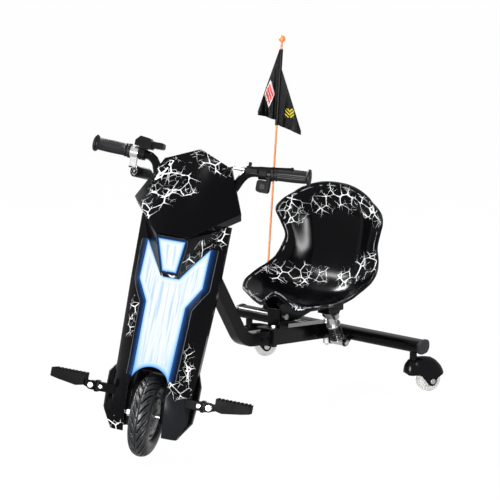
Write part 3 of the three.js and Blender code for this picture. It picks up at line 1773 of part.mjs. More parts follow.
function switchBlock() {
  const middle = [(switchInner + switchOuter) / 2, (switchLow + switchHigh) / 2];
  const outline = roundedBox(middle, switchOuter - switchInner, switchHigh - switchLow, buttonRadius);
  const body = prism(outline, aheadPlane, -barBehind - switchHalfDepth, -barBehind + switchHalfDepth);
  const neck = block(
    at(switchRingInner, -barBehind - switchHalfDepth, switchHigh - buttonRadius),
    at(switchOuter, -barBehind + switchHalfDepth, barAlong(switchOuter)),
  );
  const ring = barRing(switchRingInner, switchOuter);
  const recess = rod(switchButtonAt(-buttonDepth), switchButtonAt(overrun), buttonRadius + gap);
  return cut(joined(body, neck, ring), barBore(switchRingInner - overrun, gripInner), recess);
}

function switchButtonAt(proud) {
  return at((switchInner + switchOuter) / 2, -barBehind + switchHalfDepth + proud, buttonAlong);
}

function switchButton() {
  return rod(switchButtonAt(buttonTravel + gap - buttonDepth), switchButtonAt(buttonTravel), buttonRadius);
}

// Brake cable: from the adjuster through the head shell and down to the controller
const cableStart = 89.2;
const cableAhead = 28;
const cableFoot = 286;
// Shares of the cable's start across, its reach ahead, and its rise from its foot to the adjuster
const cableShares = [
  [1, -0.75, 1],
  [0.897, -0.714, 0.991],
  [0.74, -0.286, 0.924],
  [0.561, 0.286, 0.806],
  [0.448, 0.571, 0.659],
  [0.404, 0.536, 0.541],
  [0.381, 0.571, 0.394],
  [0.348, 0.714, 0.247],
  [0.269, 0.929, 0.1],
  [0.202, 1, 0.041],
  [0.179, 1, 0],
];

function cablePath() {
  const rise = adjusterAlong - cableFoot;
  return new THREE.CatmullRomCurve3(
    cableShares.map(([u, v, w]) => at(u * cableStart, v * cableAhead, cableFoot + w * rise)),
  );
}

function cableTube(extra) {
  return sweep(cablePath(), cableRadius + extra, 40, 8);
}

// Foot pegs: bracket from the fork leg, folding peg and its pin

function pegBracket(side) {
  const start = forkInside + forkPlate + gap;
  const collarEnd = pegPivot - pegClevisRadius - gap;
  const halfDepth = pegBarDepth / 2;
  const halfHeight = pegBarHeight / 2;
  const bar = block(
    at(side * start, pegAhead - halfDepth, pegAlong - halfHeight),
    at(side * (collarEnd - lap), pegAhead + halfDepth, pegAlong + halfHeight),
  );
  const collarSize = [pegBarDepth + 2 * pegCollarLip, pegBarHeight + 2 * pegCollarLip];
  const collar = prism(
    roundedBox([-pegAhead, pegAlong], ...collarSize, pegCollarLip),
    sidePlane,
    ...between(side * collarEnd, side * (collarEnd - pegCollar)),
  );
  const ears = [-1, 1].map((face) => {
    const outline = [
      ...arc([side * pegPivot, pegAlong], pegClevisRadius, -Math.PI / 2, Math.PI / 2, 8).map(([u, w]) => [
        side * pegPivot + side * Math.abs(u - side * pegPivot),
        w,
      ]),
      [side * (collarEnd - lap), pegAlong + pegClevisRadius],
      [side * (collarEnd - lap), pegAlong - pegClevisRadius],
    ];
    const inner = pegAhead + face * (halfDepth - earPlate);
    const outer = pegAhead + face * halfDepth;
    return prism(outline, aheadPlane, ...between(inner, outer));
  });
  return cut(joined(bar, collar, ...ears), pegPinHole(side));
}

function pegPinHole(side) {
  const reach = pegBarDepth / 2 + overrun;
  return rod(
    at(side * pegPivot, pegAhead - reach, pegAlong),
    at(side * pegPivot, pegAhead + reach, pegAlong),
    pegPinRadius + gap,
    boltSides,
  );
}

function pegPin(side) {
  const face = pegBarDepth / 2 + gap;
  const line = (ahead) => at(side * pegPivot, pegAhead + ahead, pegAlong);
  const headWidth = bracketPlate;
  const shaft = rod(line(-face - lap), line(face + lap), pegPinRadius, boltSides);
  const headRadius = pegPinHeadShare * pegPinRadius;
  const head = rod(line(face), line(face + headWidth), headRadius, boltSides);
  const nut = rod(line(-face - headWidth), line(-face), headRadius, nutSides);
  return joined(shaft, head, nut);
}

function footPeg(side) {
  const pitch = (pegEnd - pegBodyStart) / pegTeeth;
  const [crestShare, footShare, riseShare] = pegToothShares;
  const teeth = Array.from({ length: pegTeeth }, (_, i) => {
    const from = pegBodyStart + i * pitch;
    return [
      [from, pegBodyHigh],
      [from + crestShare * pitch, pegBodyHigh],
      [from + footShare * pitch, pegBodyHigh - pegToothDepth],
      [from + riseShare * pitch, pegBodyHigh - pegToothDepth],
    ];
  }).flat();
  const outline = [
    [pegBodyStart, pegBodyLow + pegEdge],
    ...teeth,
    [pegEnd, pegBodyHigh - lap],
    [pegEnd, pegAlong + pegEdge],
    [pegEnd - 2 * pitch, pegAlong],
    [pegBodyStart + 2 * pitch, pegBodyLow],
  ].map(([across, along]) => [side * across, along]);
  const middle = pegAhead;
  const body = prism(outline, aheadPlane, middle - pegWidth / 2, middle + pegWidth / 2);
  const tongueHalf = pegBarDepth / 2 - earPlate - gap;
  const tongue = hull(
    [middle - tongueHalf, middle + tongueHalf].flatMap((ahead) => [
      ...circle([side * pegPivot, pegAlong], pegClevisRadius - lap).map(([u, w]) => at(u, ahead, w)),
      at(side * (pegBodyStart + 2 * lap), ahead, pegAlong + pegClevisRadius - lap),
      at(side * (pegBodyStart + 2 * lap), ahead, pegAlong - earPlate),
    ]),
  );
  return cut(joined(body, tongue), pegPinHole(side));
}

// Battery behind the column and controller ahead of it

function batteryPack() {
  const low = lowBulkhead + bulkheadPlate + gap + overrun;
  const front = -columnRadius - gap;
  const outline = roundedBox([0, front - batteryDepth / 2], 2 * batteryHalfWidth, batteryDepth, stemWall);
  return prism(
    outline.map(([across, ahead]) => [across, -ahead]).reverse(),
    topPlane,
    low + overrun,
    low + overrun + batteryHeight,
  );
}

function controller() {
  const middle = [0, -columnRadius - gap - controllerDepth / 2];
  const outline = roundedBox(middle, 2 * controllerHalfWidth, controllerDepth, 2 * lap);
  return prism(outline, topPlane, controllerLow, controllerLow + controllerHeight);
}

// Assembly

function steeredPieces() {
  const pieces = [
    piece("front_tyre", tyre(), "tyreRubber"),
    piece("hub_motor", hubMotor(), "silver"),
    piece("wheel_axle", wheelAxle(), "silver"),
    piece("fork", fork(), "blackPaint"),
    piece("handlebar_stem", handlebarStem(), "blackPaint"),
    piece("handlebar", barTube(0), "blackPaint"),
    piece("grip_left", grip(1), "rubber"),
    piece("grip_right", grip(-1), "rubber"),
    piece("throttle_housing", throttleHousing(), "blackPlastic"),
    piece("throttle_lever", throttleLever(), "blackPlastic"),
    piece("horn", horn(), "blackPlastic"),
    piece("brake_perch", brakePerch(), "blackPlastic"),
    piece("brake_lever", brakeLever(), "blackPaint"),
    piece("brake_cable", cableTube(0), "rubber"),
    piece("switch_block", switchBlock(), "blackPlastic"),
    piece("switch_button", switchButton(), "blackPlastic"),
    piece("head_fairing", headFairing(), "crackle"),
    piece("body_fairing", bodyFairing(), "crackle"),
    piece("rear_cover", rearCover(), "blackPlastic"),
    piece("nose_cover", noseCover(), "crackle"),
    piece("upper_lens", upperLensBody(0, gap, upperLensPlate), "lens"),
    piece("panel_lens", panelLens(), "lens"),
    piece("battery_pack", batteryPack(), "battery"),
    piece("controller", controller(), "darkSteel"),
  ];
  for (const [side, name] of [
    [1, "left"],
    [-1, "right"],
  ]) {
    pieces.push(piece("peg_bracket_" + name, pegBracket(side), "blackPaint"));
    pieces.push(piece("foot_peg_" + name, footPeg(side), "rubber"));
    pieces.push(piece("peg_pin_" + name, pegPin(side), "silver"));
  }
  return pieces;
}

function frontAssembly() {
  const steer = new THREE.Group();
  steer.rotation.z = restSteer;
  steer.add(...steeredPieces());
  const bearings = new THREE.Group();
  bearings.add(piece("headset_bearing_upper", headsetBearing(headTubeHigh, 1), "darkSteel"));
  bearings.add(piece("headset_bearing_lower", headsetBearing(headTubeLow, -1), "darkSteel"));
  const rake = new THREE.Group();
  rake.position.z = wheelFoot;
  rake.rotation.x = -rakeAngle;
  rake.add(steer, bearings);
  return rake;
}

function casterAssembly(side, name, turn) {
  const caster = new THREE.Group();
  caster.position.set(side * casterX, crossY, 0);
  caster.rotation.z = turn;
  caster.add(piece("caster_hood_" + name, casterHood(), "blackPlastic"));
  caster.add(piece("caster_axle_" + name, casterAxle(), "silver"));
  caster.add(piece("caster_wheel_" + name, casterWheel(), "wheelWhite"));
  return caster;
}

function rearPieces() {
  return [
    piece("main_frame", mainFrame(), "blackPaint"),
    piece("rear_sleeve", rearSleeve(), "blackPaint"),
    piece("sleeve_collar", sleeveCollar(), "blackPlastic"),
    piece("length_lock_bolt", lengthLockBolt(), "darkSteel"),
    piece("rear_cross_tube", rearCrossTube(), "blackPaint"),
    piece("tube_cap_left", tubeCap(1), "blackPlastic"),
    piece("tube_cap_right", tubeCap(-1), "blackPlastic"),
    piece("junction_bolt", junctionBolt(), "silver"),
    piece("seat_riser", seatRiser(), "blackPaint"),
    piece("seat_pivot_bolt", seatPivotBolt(), "silver"),
    piece("seat_bracket", seatBracket(), "blackPaint"),
    piece("seat_shell", seatShell(), "crackle"),
    piece("shock_top_mount", shockTopMount(), "blackPaint"),
    piece("shock_top_bolt", shockBolt(shockTop, shockTopHalfWidth), "silver"),
    piece("shock_lower_bolt", shockBolt(shockLow, shockLowHalfWidth), "silver"),
    piece("shock_cylinder", shockCylinder(), "silver"),
    piece("shock_rod", shockRod(), "silver"),
    piece("shock_spring", shockSpring(), "blackPaint"),
    piece("flag_socket", flagSocket(), "blackPaint"),
    piece("flag_pole", flagPole(), "orange"),
    piece("flag_ball", flagBall(), "orange"),
    piece("flag", flagCloth(), "cloth"),
  ];
}

function scooter() {
  const whole = new THREE.Group();
  whole.add(frontAssembly());
  whole.add(...rearPieces());
  whole.add(casterAssembly(1, "left", casterTurns[0]));
  whole.add(casterAssembly(-1, "right", casterTurns[1]));
  whole.updateMatrixWorld(true);
  const box = new THREE.Box3().setFromObject(whole, true);
  const middle = box.getCenter(new THREE.Vector3());
  whole.position.set(-middle.x, -middle.y, -box.min.z);
  return whole;
}

export default scooter();
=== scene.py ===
"""The dressed tricycle drifter scooter: finishes on the CAD pieces, and finer pieces where they show."""

import math

import bpy
import numpy as np
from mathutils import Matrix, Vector
from mathutils.bvhtree import BVHTree

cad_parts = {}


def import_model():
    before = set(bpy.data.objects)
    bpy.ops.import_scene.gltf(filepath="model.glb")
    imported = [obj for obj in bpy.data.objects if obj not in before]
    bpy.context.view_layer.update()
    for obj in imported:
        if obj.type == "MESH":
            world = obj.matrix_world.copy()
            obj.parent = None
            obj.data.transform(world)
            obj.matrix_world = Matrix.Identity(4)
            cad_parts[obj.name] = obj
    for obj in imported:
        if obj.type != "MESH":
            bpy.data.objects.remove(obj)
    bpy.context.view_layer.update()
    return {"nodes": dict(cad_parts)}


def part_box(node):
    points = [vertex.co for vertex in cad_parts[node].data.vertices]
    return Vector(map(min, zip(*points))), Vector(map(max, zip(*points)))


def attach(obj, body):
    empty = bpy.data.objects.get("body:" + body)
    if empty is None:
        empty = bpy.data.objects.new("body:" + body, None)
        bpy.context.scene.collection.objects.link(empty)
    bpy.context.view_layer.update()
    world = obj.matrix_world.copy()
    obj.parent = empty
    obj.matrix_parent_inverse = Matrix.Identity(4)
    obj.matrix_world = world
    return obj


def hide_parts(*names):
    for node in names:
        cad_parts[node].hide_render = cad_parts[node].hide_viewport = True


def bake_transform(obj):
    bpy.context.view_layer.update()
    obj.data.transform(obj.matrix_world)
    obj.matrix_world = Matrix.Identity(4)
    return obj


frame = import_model()

# Places: the model's own millimetres become row frame metres

MM = 0.001
CROSS_TUBE_Y = 767
cross_low, cross_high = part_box("rear_cross_tube")
cap_low, cap_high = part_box("tube_cap_left")
SHIFT = Vector(((cross_low.x + cross_high.x) / 2, (cap_low.y + cap_high.y) / 2 - CROSS_TUBE_Y * MM, 0))

RAKE = math.radians(17)
STEER = math.radians(25)
WHEEL_LEAD = 30.6
TYRE_RADIUS = 101
TYRE_SECTION = 25
TYRE_MIDDLE = TYRE_RADIUS - TYRE_SECTION
ACROSS = Vector((math.cos(STEER), math.cos(RAKE) * math.sin(STEER), -math.sin(RAKE) * math.sin(STEER)))
AHEAD = Vector((math.sin(STEER), -math.cos(RAKE) * math.cos(STEER), math.sin(RAKE) * math.cos(STEER)))
ALONG = Vector((0, math.sin(RAKE), math.cos(RAKE)))
FOOT = Vector((0, 0, TYRE_MIDDLE * math.sqrt(1 - ACROSS.z**2) + TYRE_SECTION - WHEEL_LEAD * AHEAD.z))


def world(x, y, z):
    """A point of the part's own millimetres, in the row frame."""
    return Vector((x, y, z)) * MM + SHIFT


def steered(u, v, w):
    """A point across, ahead of and along the steering axis, in the row frame."""
    return (FOOT + ACROSS * u + AHEAD * v + ALONG * w) * MM + SHIFT


# Camera, at the photograph's angle

CAMERA_PLACE = (2205.9, -2524.6, 1266.1)
CAMERA_AZIMUTH = math.radians(37.03)
CAMERA_ELEVATION = math.radians(12.88)
CAMERA_LENS = 104.4
CAMERA_SENSOR = 36
CAMERA_REACH = 50


def into_scene(name, data):
    """A new object in the scene, with its data."""
    thing = bpy.data.objects.new(name, data)
    bpy.context.scene.collection.objects.link(thing)
    return thing


def add_camera():
    data = bpy.data.cameras.new("camera")
    data.lens = CAMERA_LENS
    data.sensor_width = CAMERA_SENSOR
    data.clip_end = CAMERA_REACH
    camera = into_scene("camera", data)
    camera.location = world(*CAMERA_PLACE)
    camera.rotation_euler = (math.radians(90) - CAMERA_ELEVATION, 0, CAMERA_AZIMUTH)
    bpy.context.scene.camera = camera


# Meshes

SMOOTH_ANGLE = 32
ON_AXIS = 0.01


def mesh_piece(name, points, faces, body, slot, finish, split=None):
    """A new smooth piece, its edges split at an angle; without a body it is left unattached."""
    mesh = bpy.data.meshes.new(name)
    mesh.from_pydata([tuple(p) for p in points], [], [tuple(f) for f in faces])
    mesh.update()
    mesh.validate()
    for polygon in mesh.polygons:
        polygon.use_smooth = True
    mesh.materials.append(MATERIALS[finish])
    piece = into_scene(name, mesh)
    if body:
        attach(piece, body)
    if split:
        split_edges(piece, split)
    return piece


def mark_points(piece, mark, values):
    """Keeps one number per point under a mark's name."""
    layer = piece.data.attributes.new(mark, "FLOAT", "POINT")
    layer.data.foreach_set("value", np.array(values, np.float32))


def split_edges(piece, degrees):
    """Keeps edges sharp where faces meet at more than some degrees."""
    piece.modifiers.new("edge_split", "EDGE_SPLIT").split_angle = math.radians(degrees)


def grid_faces(rows, columns, close_rows=False, close_columns=False, start=0):
    """The quads of a grid of points, kept row by row from a start."""
    faces = []
    for i in range(rows if close_rows else rows - 1):
        for j in range(columns if close_columns else columns - 1):
            here, beyond = start + i * columns, start + (i + 1) % rows * columns
            after = (j + 1) % columns
            faces.append((here + j, here + after, beyond + after, beyond + j))
    return faces


def turned(faces):
    """The same faces, looked at from behind."""
    return [tuple(reversed(f)) for f in faces]


def grid_border(grid):
    """The places round a grid of points, as pairs of a row and a column."""
    last_row, last_column = grid.shape[0] - 1, grid.shape[1] - 1
    return (
        [(0, j) for j in range(last_column)]
        + [(i, last_column) for i in range(last_row)]
        + [(last_row, j) for j in range(last_column, 0, -1)]
        + [(i, 0) for i in range(last_row, 0, -1)]
    )


def sheet_faces(front, count, turn_edge=False):
    """A sheet's faces, those of a like sheet behind it, and those of the edge between them."""
    runs = [(a, b) for f in front for a, b in zip(f, f[1:] + f[:1])]
    known = set(runs)
    edge = [(a, a + count, b + count, b) for a, b in runs if (b, a) not in known]
    back = [tuple(count + i for i in f) for f in turned(front)]
    return front + back + (turned(edge) if turn_edge else edge)


def frame_about(direction):
    """Two unit vectors square to another."""
    side = direction.orthogonal().normalized()
    return side, direction.cross(side)


def turned_by(share, one, two):
    """A share of a whole turn from one vector towards another."""
    angle = 2 * math.pi * share
    return one * math.cos(angle) + two * math.sin(angle)


def lathe(profile, place, direction, sides):
    """Points and faces of a closed profile of (radius, distance) turned about a line."""
    one, two = frame_about(direction)
    points = []
    for i in range(sides):
        out = turned_by(i / sides, one, two)
        points += [place + direction * (along * MM) + out * (radius * MM) for radius, along in profile]
    return points, turned(grid_faces(sides, len(profile), close_rows=True, close_columns=True))


def tube(path, radius, sides=12, closed=False):
    """Points and faces of a round tube along a list of points in metres."""
    count = len(path)
    points = []
    up = None
    for i, p in enumerate(path):
        before = path[i - 1] if (closed or i > 0) else p
        after = path[(i + 1) % count] if (closed or i < count - 1) else p
        run = (after - before).normalized()
        if up is None:
            up = run.orthogonal().normalized()
        up = (up - run * up.dot(run)).normalized()
        side = run.cross(up)
        points += [p + turned_by(j / sides, up, side) * radius for j in range(sides)]
    faces = grid_faces(count, sides, close_rows=closed, close_columns=True)
    if not closed:
        faces.append(tuple(range(sides))[::-1])
        faces.append(tuple(range((count - 1) * sides, count * sides)))
    return points, faces


def merged(parts):
    """One pair of points and faces from several."""
    points, faces = [], []
    for more, shape in parts:
        faces += [tuple(len(points) + i for i in f) for f in shape]
        points += more
    return points, faces


def spline_rows(values, steps):
    """A smooth curve through rows of numbers."""
    p = np.array(values, float)
    ends = np.vstack([2 * p[0] - p[1], p, 2 * p[-1] - p[-2]])
    result = []
    for t in np.linspace(0, len(p) - 1, steps + 1):
        i = min(int(t), len(p) - 2)
        f = t - i
        a, b, c, d = ends[i : i + 4]
        bend = (2 * a - 5 * b + 4 * c - d) * f**2 + (3 * b - a - 3 * c + d) * f**3
        result.append(0.5 * (2 * b + (c - a) * f + bend))
    return np.array(result)


# Bucket seat: per row, the centre's depth and height, then the edge's width, depth and height, as shares

SEAT_ROWS = (
    (0.03, 0.042, 0.66, 0.158, 0.078),
    (0.045, 0.085, 0.87, 0.225, 0.118),
    (0.135, 0.063, 0.99, 0.35, 0.162),
    (0.286, 0.031, 1.01, 0.475, 0.196),
    (0.455, 0.003, 1.01, 0.6, 0.226),
    (0.623, 0.013, 0.99, 0.7, 0.25),
    (0.758, 0.069, 0.955, 0.808, 0.302),
    (0.849, 0.189, 0.915, 0.87, 0.384),
    (0.892, 0.346, 0.868, 0.895, 0.49),
    (0.919, 0.535, 0.932, 0.872, 0.61),
    (0.939, 0.708, 1, 0.848, 0.723),
    (0.96, 0.865, 0.932, 0.885, 0.802),
    (0.983, 1, 0.727, 0.926, 0.887),
)
SEAT_HUMP_SHARES = (1, 0.96, 0.62, 0.22, 0)
SEAT_FRONT = 505
SEAT_DEPTH = 297
SEAT_LOW = 230
SEAT_HEIGHT = 318
SEAT_HALF_WIDTH = 176
SEAT_HUMP = 38
SEAT_HUMP_HALF = 66
SEAT_STEPS = (96, 96)
SEAT_WALL = 4
RIM_BEAD = 3
BOLSTER_DEPTH = 26
SEAT_EDGE_POWERS = (1.7, 2.4)


def seat_surface():
    """The seat's upper face as a grid of points in the part's millimetres."""
    rows, columns = SEAT_STEPS
    centre_y, centre_z, edge_x, edge_y, edge_z = spline_rows(SEAT_ROWS, rows).T[:, :, None]
    places = np.linspace(0, len(SEAT_ROWS) - 1, rows + 1)
    humps = np.interp(places, range(len(SEAT_HUMP_SHARES)), SEAT_HUMP_SHARES)[:, None]
    across = np.sin(np.linspace(-1, 1, columns + 1) * math.pi / 2)
    side = np.abs(across)
    x = edge_x * SEAT_HALF_WIDTH * across
    depth = centre_y + (edge_y - centre_y) * side ** SEAT_EDGE_POWERS[0]
    rise = centre_z + (edge_z - centre_z) * side ** SEAT_EDGE_POWERS[1]
    bump = np.cos(np.minimum(1, np.abs(x) / SEAT_HUMP_HALF) * math.pi / 2) ** 2
    z = SEAT_LOW + rise * SEAT_HEIGHT + SEAT_HUMP * humps * bump
    return np.stack([x, SEAT_FRONT + depth * SEAT_DEPTH, z], axis=2)


# Clusters of cracks on the seat: shares of its length and width, then a radius

SEAT_CLUSTERS = (
    (0.83, -0.52, 42), (0.88, -0.17, 36), (0.92, 0.15, 38), (0.92, 0.5, 36), (0.84, 0.78, 24),
    (0.61, 0.44, 38), (0.6, 0.74, 30), (0.58, 0.2, 30), (0.46, -0.56, 38), (0.54, -0.33, 36),
    (0.58, -0.1, 28), (0.1, -0.5, 18), (0.02, -0.15, 15), (0.05, 0.3, 16), (0.07, 0.7, 16),
    (0.35, -0.85, 18), (0.97, 0, 22),
)


def seat_cracks():
    """Centres and radii of the seat's clusters of cracks."""
    grid = seat_surface()
    rows, columns = SEAT_STEPS
    return [
        (world(*grid[round(along * rows), round((across + 1) / 2 * columns)]), radius * MM)
        for along, across, radius in SEAT_CLUSTERS
    ]


# Materials

MIDDLE = (0.5, 0.5, 0.5)
NOISE_SPAN = (0.3, 0.7)
FACING_SPAN = (0.45, 0.95)
EDGE_ON_SHINE = 0.12
SOCKETS = {
    "colour": "Base Color",
    "specular": "Specular IOR Level",
    "glow": "Emission Color",
    "glow_level": "Emission Strength",
}


class Graph:
    """Short calls for the nodes of one material or world. An input takes a value or a socket."""

    def __init__(self, owner, shader="BsdfPrincipled", output="OutputMaterial"):
        owner.use_nodes = True
        owner.node_tree.nodes.clear()
        self.owner = owner
        self.shader = self.add(shader)
        self.output = self.add(output, {"Surface": self.shader.outputs[0]})

    def add(self, kind, inputs=None, **settings):
        """A new node. Its settings come first: they decide its inputs."""
        node = self.owner.node_tree.nodes.new("ShaderNode" + kind)
        for key, value in settings.items():
            setattr(node, key, value)
        for key, value in (inputs or {}).items():
            self.link(value, node.inputs[key])
        return node

    def link(self, source, target):
        if isinstance(source, bpy.types.NodeSocket):
            self.owner.node_tree.links.new(source, target)
        else:
            target.default_value = source

    def finish(self, **values):
        """Sets inputs of the shader, and returns the material or world."""
        for key, value in values.items():
            self.link(value, self.shader.inputs[SOCKETS.get(key, key.title())])
        return self.owner

    @property
    def place(self):
        """The shaded point, in the row frame."""
        return self.add("TexCoord").outputs["Object"]

    def noise(self, scale, detail, roughness=0.5, vector=None, output="Fac"):
        inputs = {"Scale": scale, "Detail": detail, "Roughness": roughness}
        return self.add("TexNoise", {**inputs, "Vector": vector or self.place}).outputs[output]

    def grain(self, scale):
        return self.noise(scale, 3, 0.6)

    def voronoi(self, scale, vector, feature="DISTANCE_TO_EDGE"):
        inputs = {"Scale": scale, "Vector": vector}
        return self.add("TexVoronoi", inputs, feature=feature).outputs["Distance"]

    def math(self, operation, a, b=0.0):
        return self.add("Math", {0: a, 1: b}, operation=operation).outputs[0]

    def times(self, a, b):
        return self.math("MULTIPLY", a, b)

    def minus(self, a, b):
        return self.math("SUBTRACT", a, b)

    def apart(self, a, b):
        return self.math("ABSOLUTE", self.minus(a, b))

    def below(self, a, b):
        return self.math("LESS_THAN", a, b)

    def most(self, a, b):
        return self.math("MAXIMUM", a, b)

    def vector(self, operation, a, b, output=0):
        second = "Scale" if operation == "SCALE" else 1
        return self.add("VectorMath", {0: a, second: b}, operation=operation).outputs[output]

    def distance(self, centre):
        """How far the shaded point lies from a centre."""
        return self.vector("DISTANCE", self.place, centre, "Value")

    def along(self, direction, start):
        """How far the shaded point lies from a start along a direction."""
        return self.vector("DOT_PRODUCT", self.vector("SUBTRACT", self.place, start), direction, "Value")

    def ranged(self, value, low, high, to_low=0.0, to_high=1.0):
        ends = {"From Min": low, "From Max": high, "To Min": to_low, "To Max": to_high}
        return self.add("MapRange", {"Value": value, **ends}).outputs["Result"]

    def spread(self, noise, low, high):
        """Spreads the usual values of a noise from low to high."""
        return self.ranged(noise, *NOISE_SPAN, low, high)

    def mix(self, share, one, two):
        inputs = {"Factor": share, "A": one, "B": two}
        return self.add("Mix", inputs, data_type="RGBA").outputs["Result"]

    def ramp(self, value, stops):
        node = self.add("ValToRGB", {"Fac": value})
        elements = node.color_ramp.elements
        while len(elements) < len(stops):
            elements.new(0.5)
        for element, (place, colour) in zip(elements, stops):
            element.position = place
            element.color = colour
        return node.outputs["Color"]

    def attribute(self, name):
        return self.add("Attribute", attribute_name=name).outputs["Fac"]

    def shine(self, level):
        """A specular level that falls where the surface is seen edge on."""
        facing = self.add("LayerWeight", {"Blend": 0.5}).outputs["Facing"]
        return self.ranged(facing, *FACING_SPAN, level, level * EDGE_ON_SHINE)

    def bevel(self, radius):
        return self.add("Bevel", {"Radius": radius}, samples=6).outputs["Normal"]

    def bump(self, height, strength, distance, normal=None):
        inputs = {"Strength": strength, "Distance": distance, "Height": height}
        if normal:
            inputs["Normal"] = normal
        return self.add("Bump", inputs).outputs["Normal"]


def new_graph(name):
    return Graph(bpy.data.materials.new(name))


def grey(value, blue=1.0):
    return (value, value, value * blue, 1)


def shaded(colour, share):
    """A colour made darker or lighter by a share, and no lighter than white."""
    return tuple(min(1, c * share) for c in colour[:3]) + (1,)


BROAD_SCALE = 14
SHEER_SHINE = 0.3
SILVER = grey(0.45, 1.02)
DARK_PAINT = grey(0.004)


def surface(name, colour, roughness, vary, grain, depth, edge=0.0008, shine=0.5, metallic=0.0):
    """A plain finish with slight mottling of colour and roughness, fine grain and rounded edges."""
    g = new_graph(name)
    broad = g.noise(BROAD_SCALE, 3)
    return g.finish(
        colour=g.mix(broad, shaded(colour, 1 - vary), shaded(colour, 1 + vary)),
        roughness=g.spread(broad, roughness * 0.85, min(1, roughness * 1.2)),
        metallic=metallic,
        specular=g.shine(shine) if shine < SHEER_SHINE else shine,
        normal=g.bump(g.grain(grain), 0.5, depth, g.bevel(edge)),
    )


def brushed(name, value, roughness=0.28):
    return surface(name, grey(value), roughness, 0.08, 900, 0.00006, 0.0006, metallic=1.0)


# Cracks: clusters of (centre, radius), the cells' scale, and how far noises of a scale bend them

CLUSTER_SPAN = (7 * MM, -12 * MM)
CLUSTER_RAGGED = 35 * MM
CRACK_SCALE = 31
CRACK_BENDS = ((64, 3.5 * MM), (260, 1.6 * MM))
CRACK_KNOT_SPAN = (0.5, 0.9)
CRACK_WIDTHS = (0.016, 0.058)
CRACK_KEPT = (0.36, 0.43)
FINE_SCALE = CRACK_SCALE * 1.7
FINE_MOVE = (0.31, 0.17, 0.53)
FINE_WIDTH = 0.018
FINE_KEPT = (0.46, 0.56)
CRACK_WHITE = (0.82, 0.83, 0.84, 1)
CRACK_BLACK = (0.0018, 0.0018, 0.0024, 1)
# A lighter black for the body below a height and beyond a side, on its lower right.
LOW_RIGHT_BLACK = (0.010, 0.0105, 0.013, 1)
LOW_RIGHT_TOP = steered(0, 0, 62)
LOW_RIGHT_SIDE = steered(30, 0, 0)
# A painted highlight on the seat: a thin broken grey line a little inside its rim, where the rolled lip would
# catch the light.
RIM_HIGHLIGHT_IN = 8.5 * MM
RIM_HIGHLIGHT_SPAN = (1.6 * MM, 0.7 * MM)
RIM_HIGHLIGHT_KEPT = (0.44, 0.56)
RIM_HIGHLIGHT_GREY = (0.30, 0.31, 0.33, 1)
GLOSS_SPAN = (0.12, 0.2)


def cluster_mask(g, clusters):
    """1 inside the clusters, 0 outside, with a ragged edge."""
    nearest = None
    for centre, radius in clusters:
        off = g.minus(g.distance(centre), radius)
        nearest = off if nearest is None else g.math("MINIMUM", nearest, off)
    ragged = g.times(g.minus(g.noise(38, 2, 0.6), 0.5), CLUSTER_RAGGED)
    return g.ranged(g.math("ADD", nearest, ragged), *CLUSTER_SPAN)


def crackle(name, clusters, offset, shine=0.06, rim=False, lighter_low_right=False):
    """Black gloss with clusters of jagged white cracks, thick at their crossings and thin between; it can be
    a lighter black low on the right, and can have a painted highlight line inside the seat's rim.
    """
    g = new_graph(name)
    moved = g.vector("ADD", g.place, offset)
    bent = moved
    for scale, reach in CRACK_BENDS:
        sway = g.vector("SUBTRACT", g.noise(scale, 2, 0.6, moved, "Color"), MIDDLE)
        bent = g.vector("ADD", bent, g.vector("SCALE", sway, reach))
    mask = cluster_mask(g, clusters)
    knot = g.ranged(g.voronoi(CRACK_SCALE, bent, "F1"), *CRACK_KNOT_SPAN, *CRACK_WIDTHS)
    keep = g.ranged(g.noise(30, 1, 0.5, moved), *CRACK_KEPT)
    width = g.times(g.times(knot, keep), mask)
    other = g.vector("ADD", bent, FINE_MOVE)
    keep_fine = g.ranged(g.noise(31, 1, 0.5, other), *FINE_KEPT)
    fine_width = g.times(g.times(keep_fine, mask), FINE_WIDTH)
    lines = g.most(
        g.below(g.voronoi(CRACK_SCALE, bent), width), g.below(g.voronoi(FINE_SCALE, other), fine_width)
    )
    colour = CRACK_BLACK
    # Lighter black on the body's lower right.
    if lighter_low_right:
        low, right = g.below(g.along(ALONG, LOW_RIGHT_TOP), 0.0), g.below(0.0, g.along(ACROSS, LOW_RIGHT_SIDE))
        colour = g.mix(g.times(low, right), colour, LOW_RIGHT_BLACK)
    colour = g.mix(lines, colour, CRACK_WHITE)
    # Painted highlight: a broken grey line a little in from the seat's rim.
    if rim:
        rim_highlight_band = g.ranged(g.apart(g.attribute("rim"), RIM_HIGHLIGHT_IN), *RIM_HIGHLIGHT_SPAN)
        broken = g.ranged(g.noise(45, 2, 0.6, moved), *RIM_HIGHLIGHT_KEPT)
        colour = g.mix(g.times(rim_highlight_band, broken), colour, RIM_HIGHLIGHT_GREY)
    return g.finish(
        colour=colour,
        roughness=g.spread(g.noise(20, 2), *GLOSS_SPAN),
        specular=g.shine(shine),
        normal=g.bump(g.noise(130, 1), 0.05, 0.0004, g.bevel(0.0015)),
    )


# Lit lenses and their bezels: colours by the share of the way in from the edge, or out from the lens. The
# bezels' blue glow is painted light from the lens.

LENS_STOPS = (
    (0.0, (0.08, 0.30, 0.85, 1)),
    (0.03, (0.19, 0.47, 0.97, 1)),
    (0.10, (0.42, 0.70, 1.0, 1)),
    (0.22, (0.76, 0.90, 1.0, 1)),
    (0.40, (0.94, 0.98, 1.0, 1)),
    (1.0, (0.96, 0.985, 1.0, 1)),
)
LENS_COOL = (0.52, 0.72, 0.95, 1)
LENS_WARM = (0.93, 0.91, 0.84, 1)
LENS_LINE = (0.42, 0.66, 0.95, 1)
LENS_LINE_IN = 0.62
LENS_UNLIT = (0.01, 0.02, 0.05, 1)
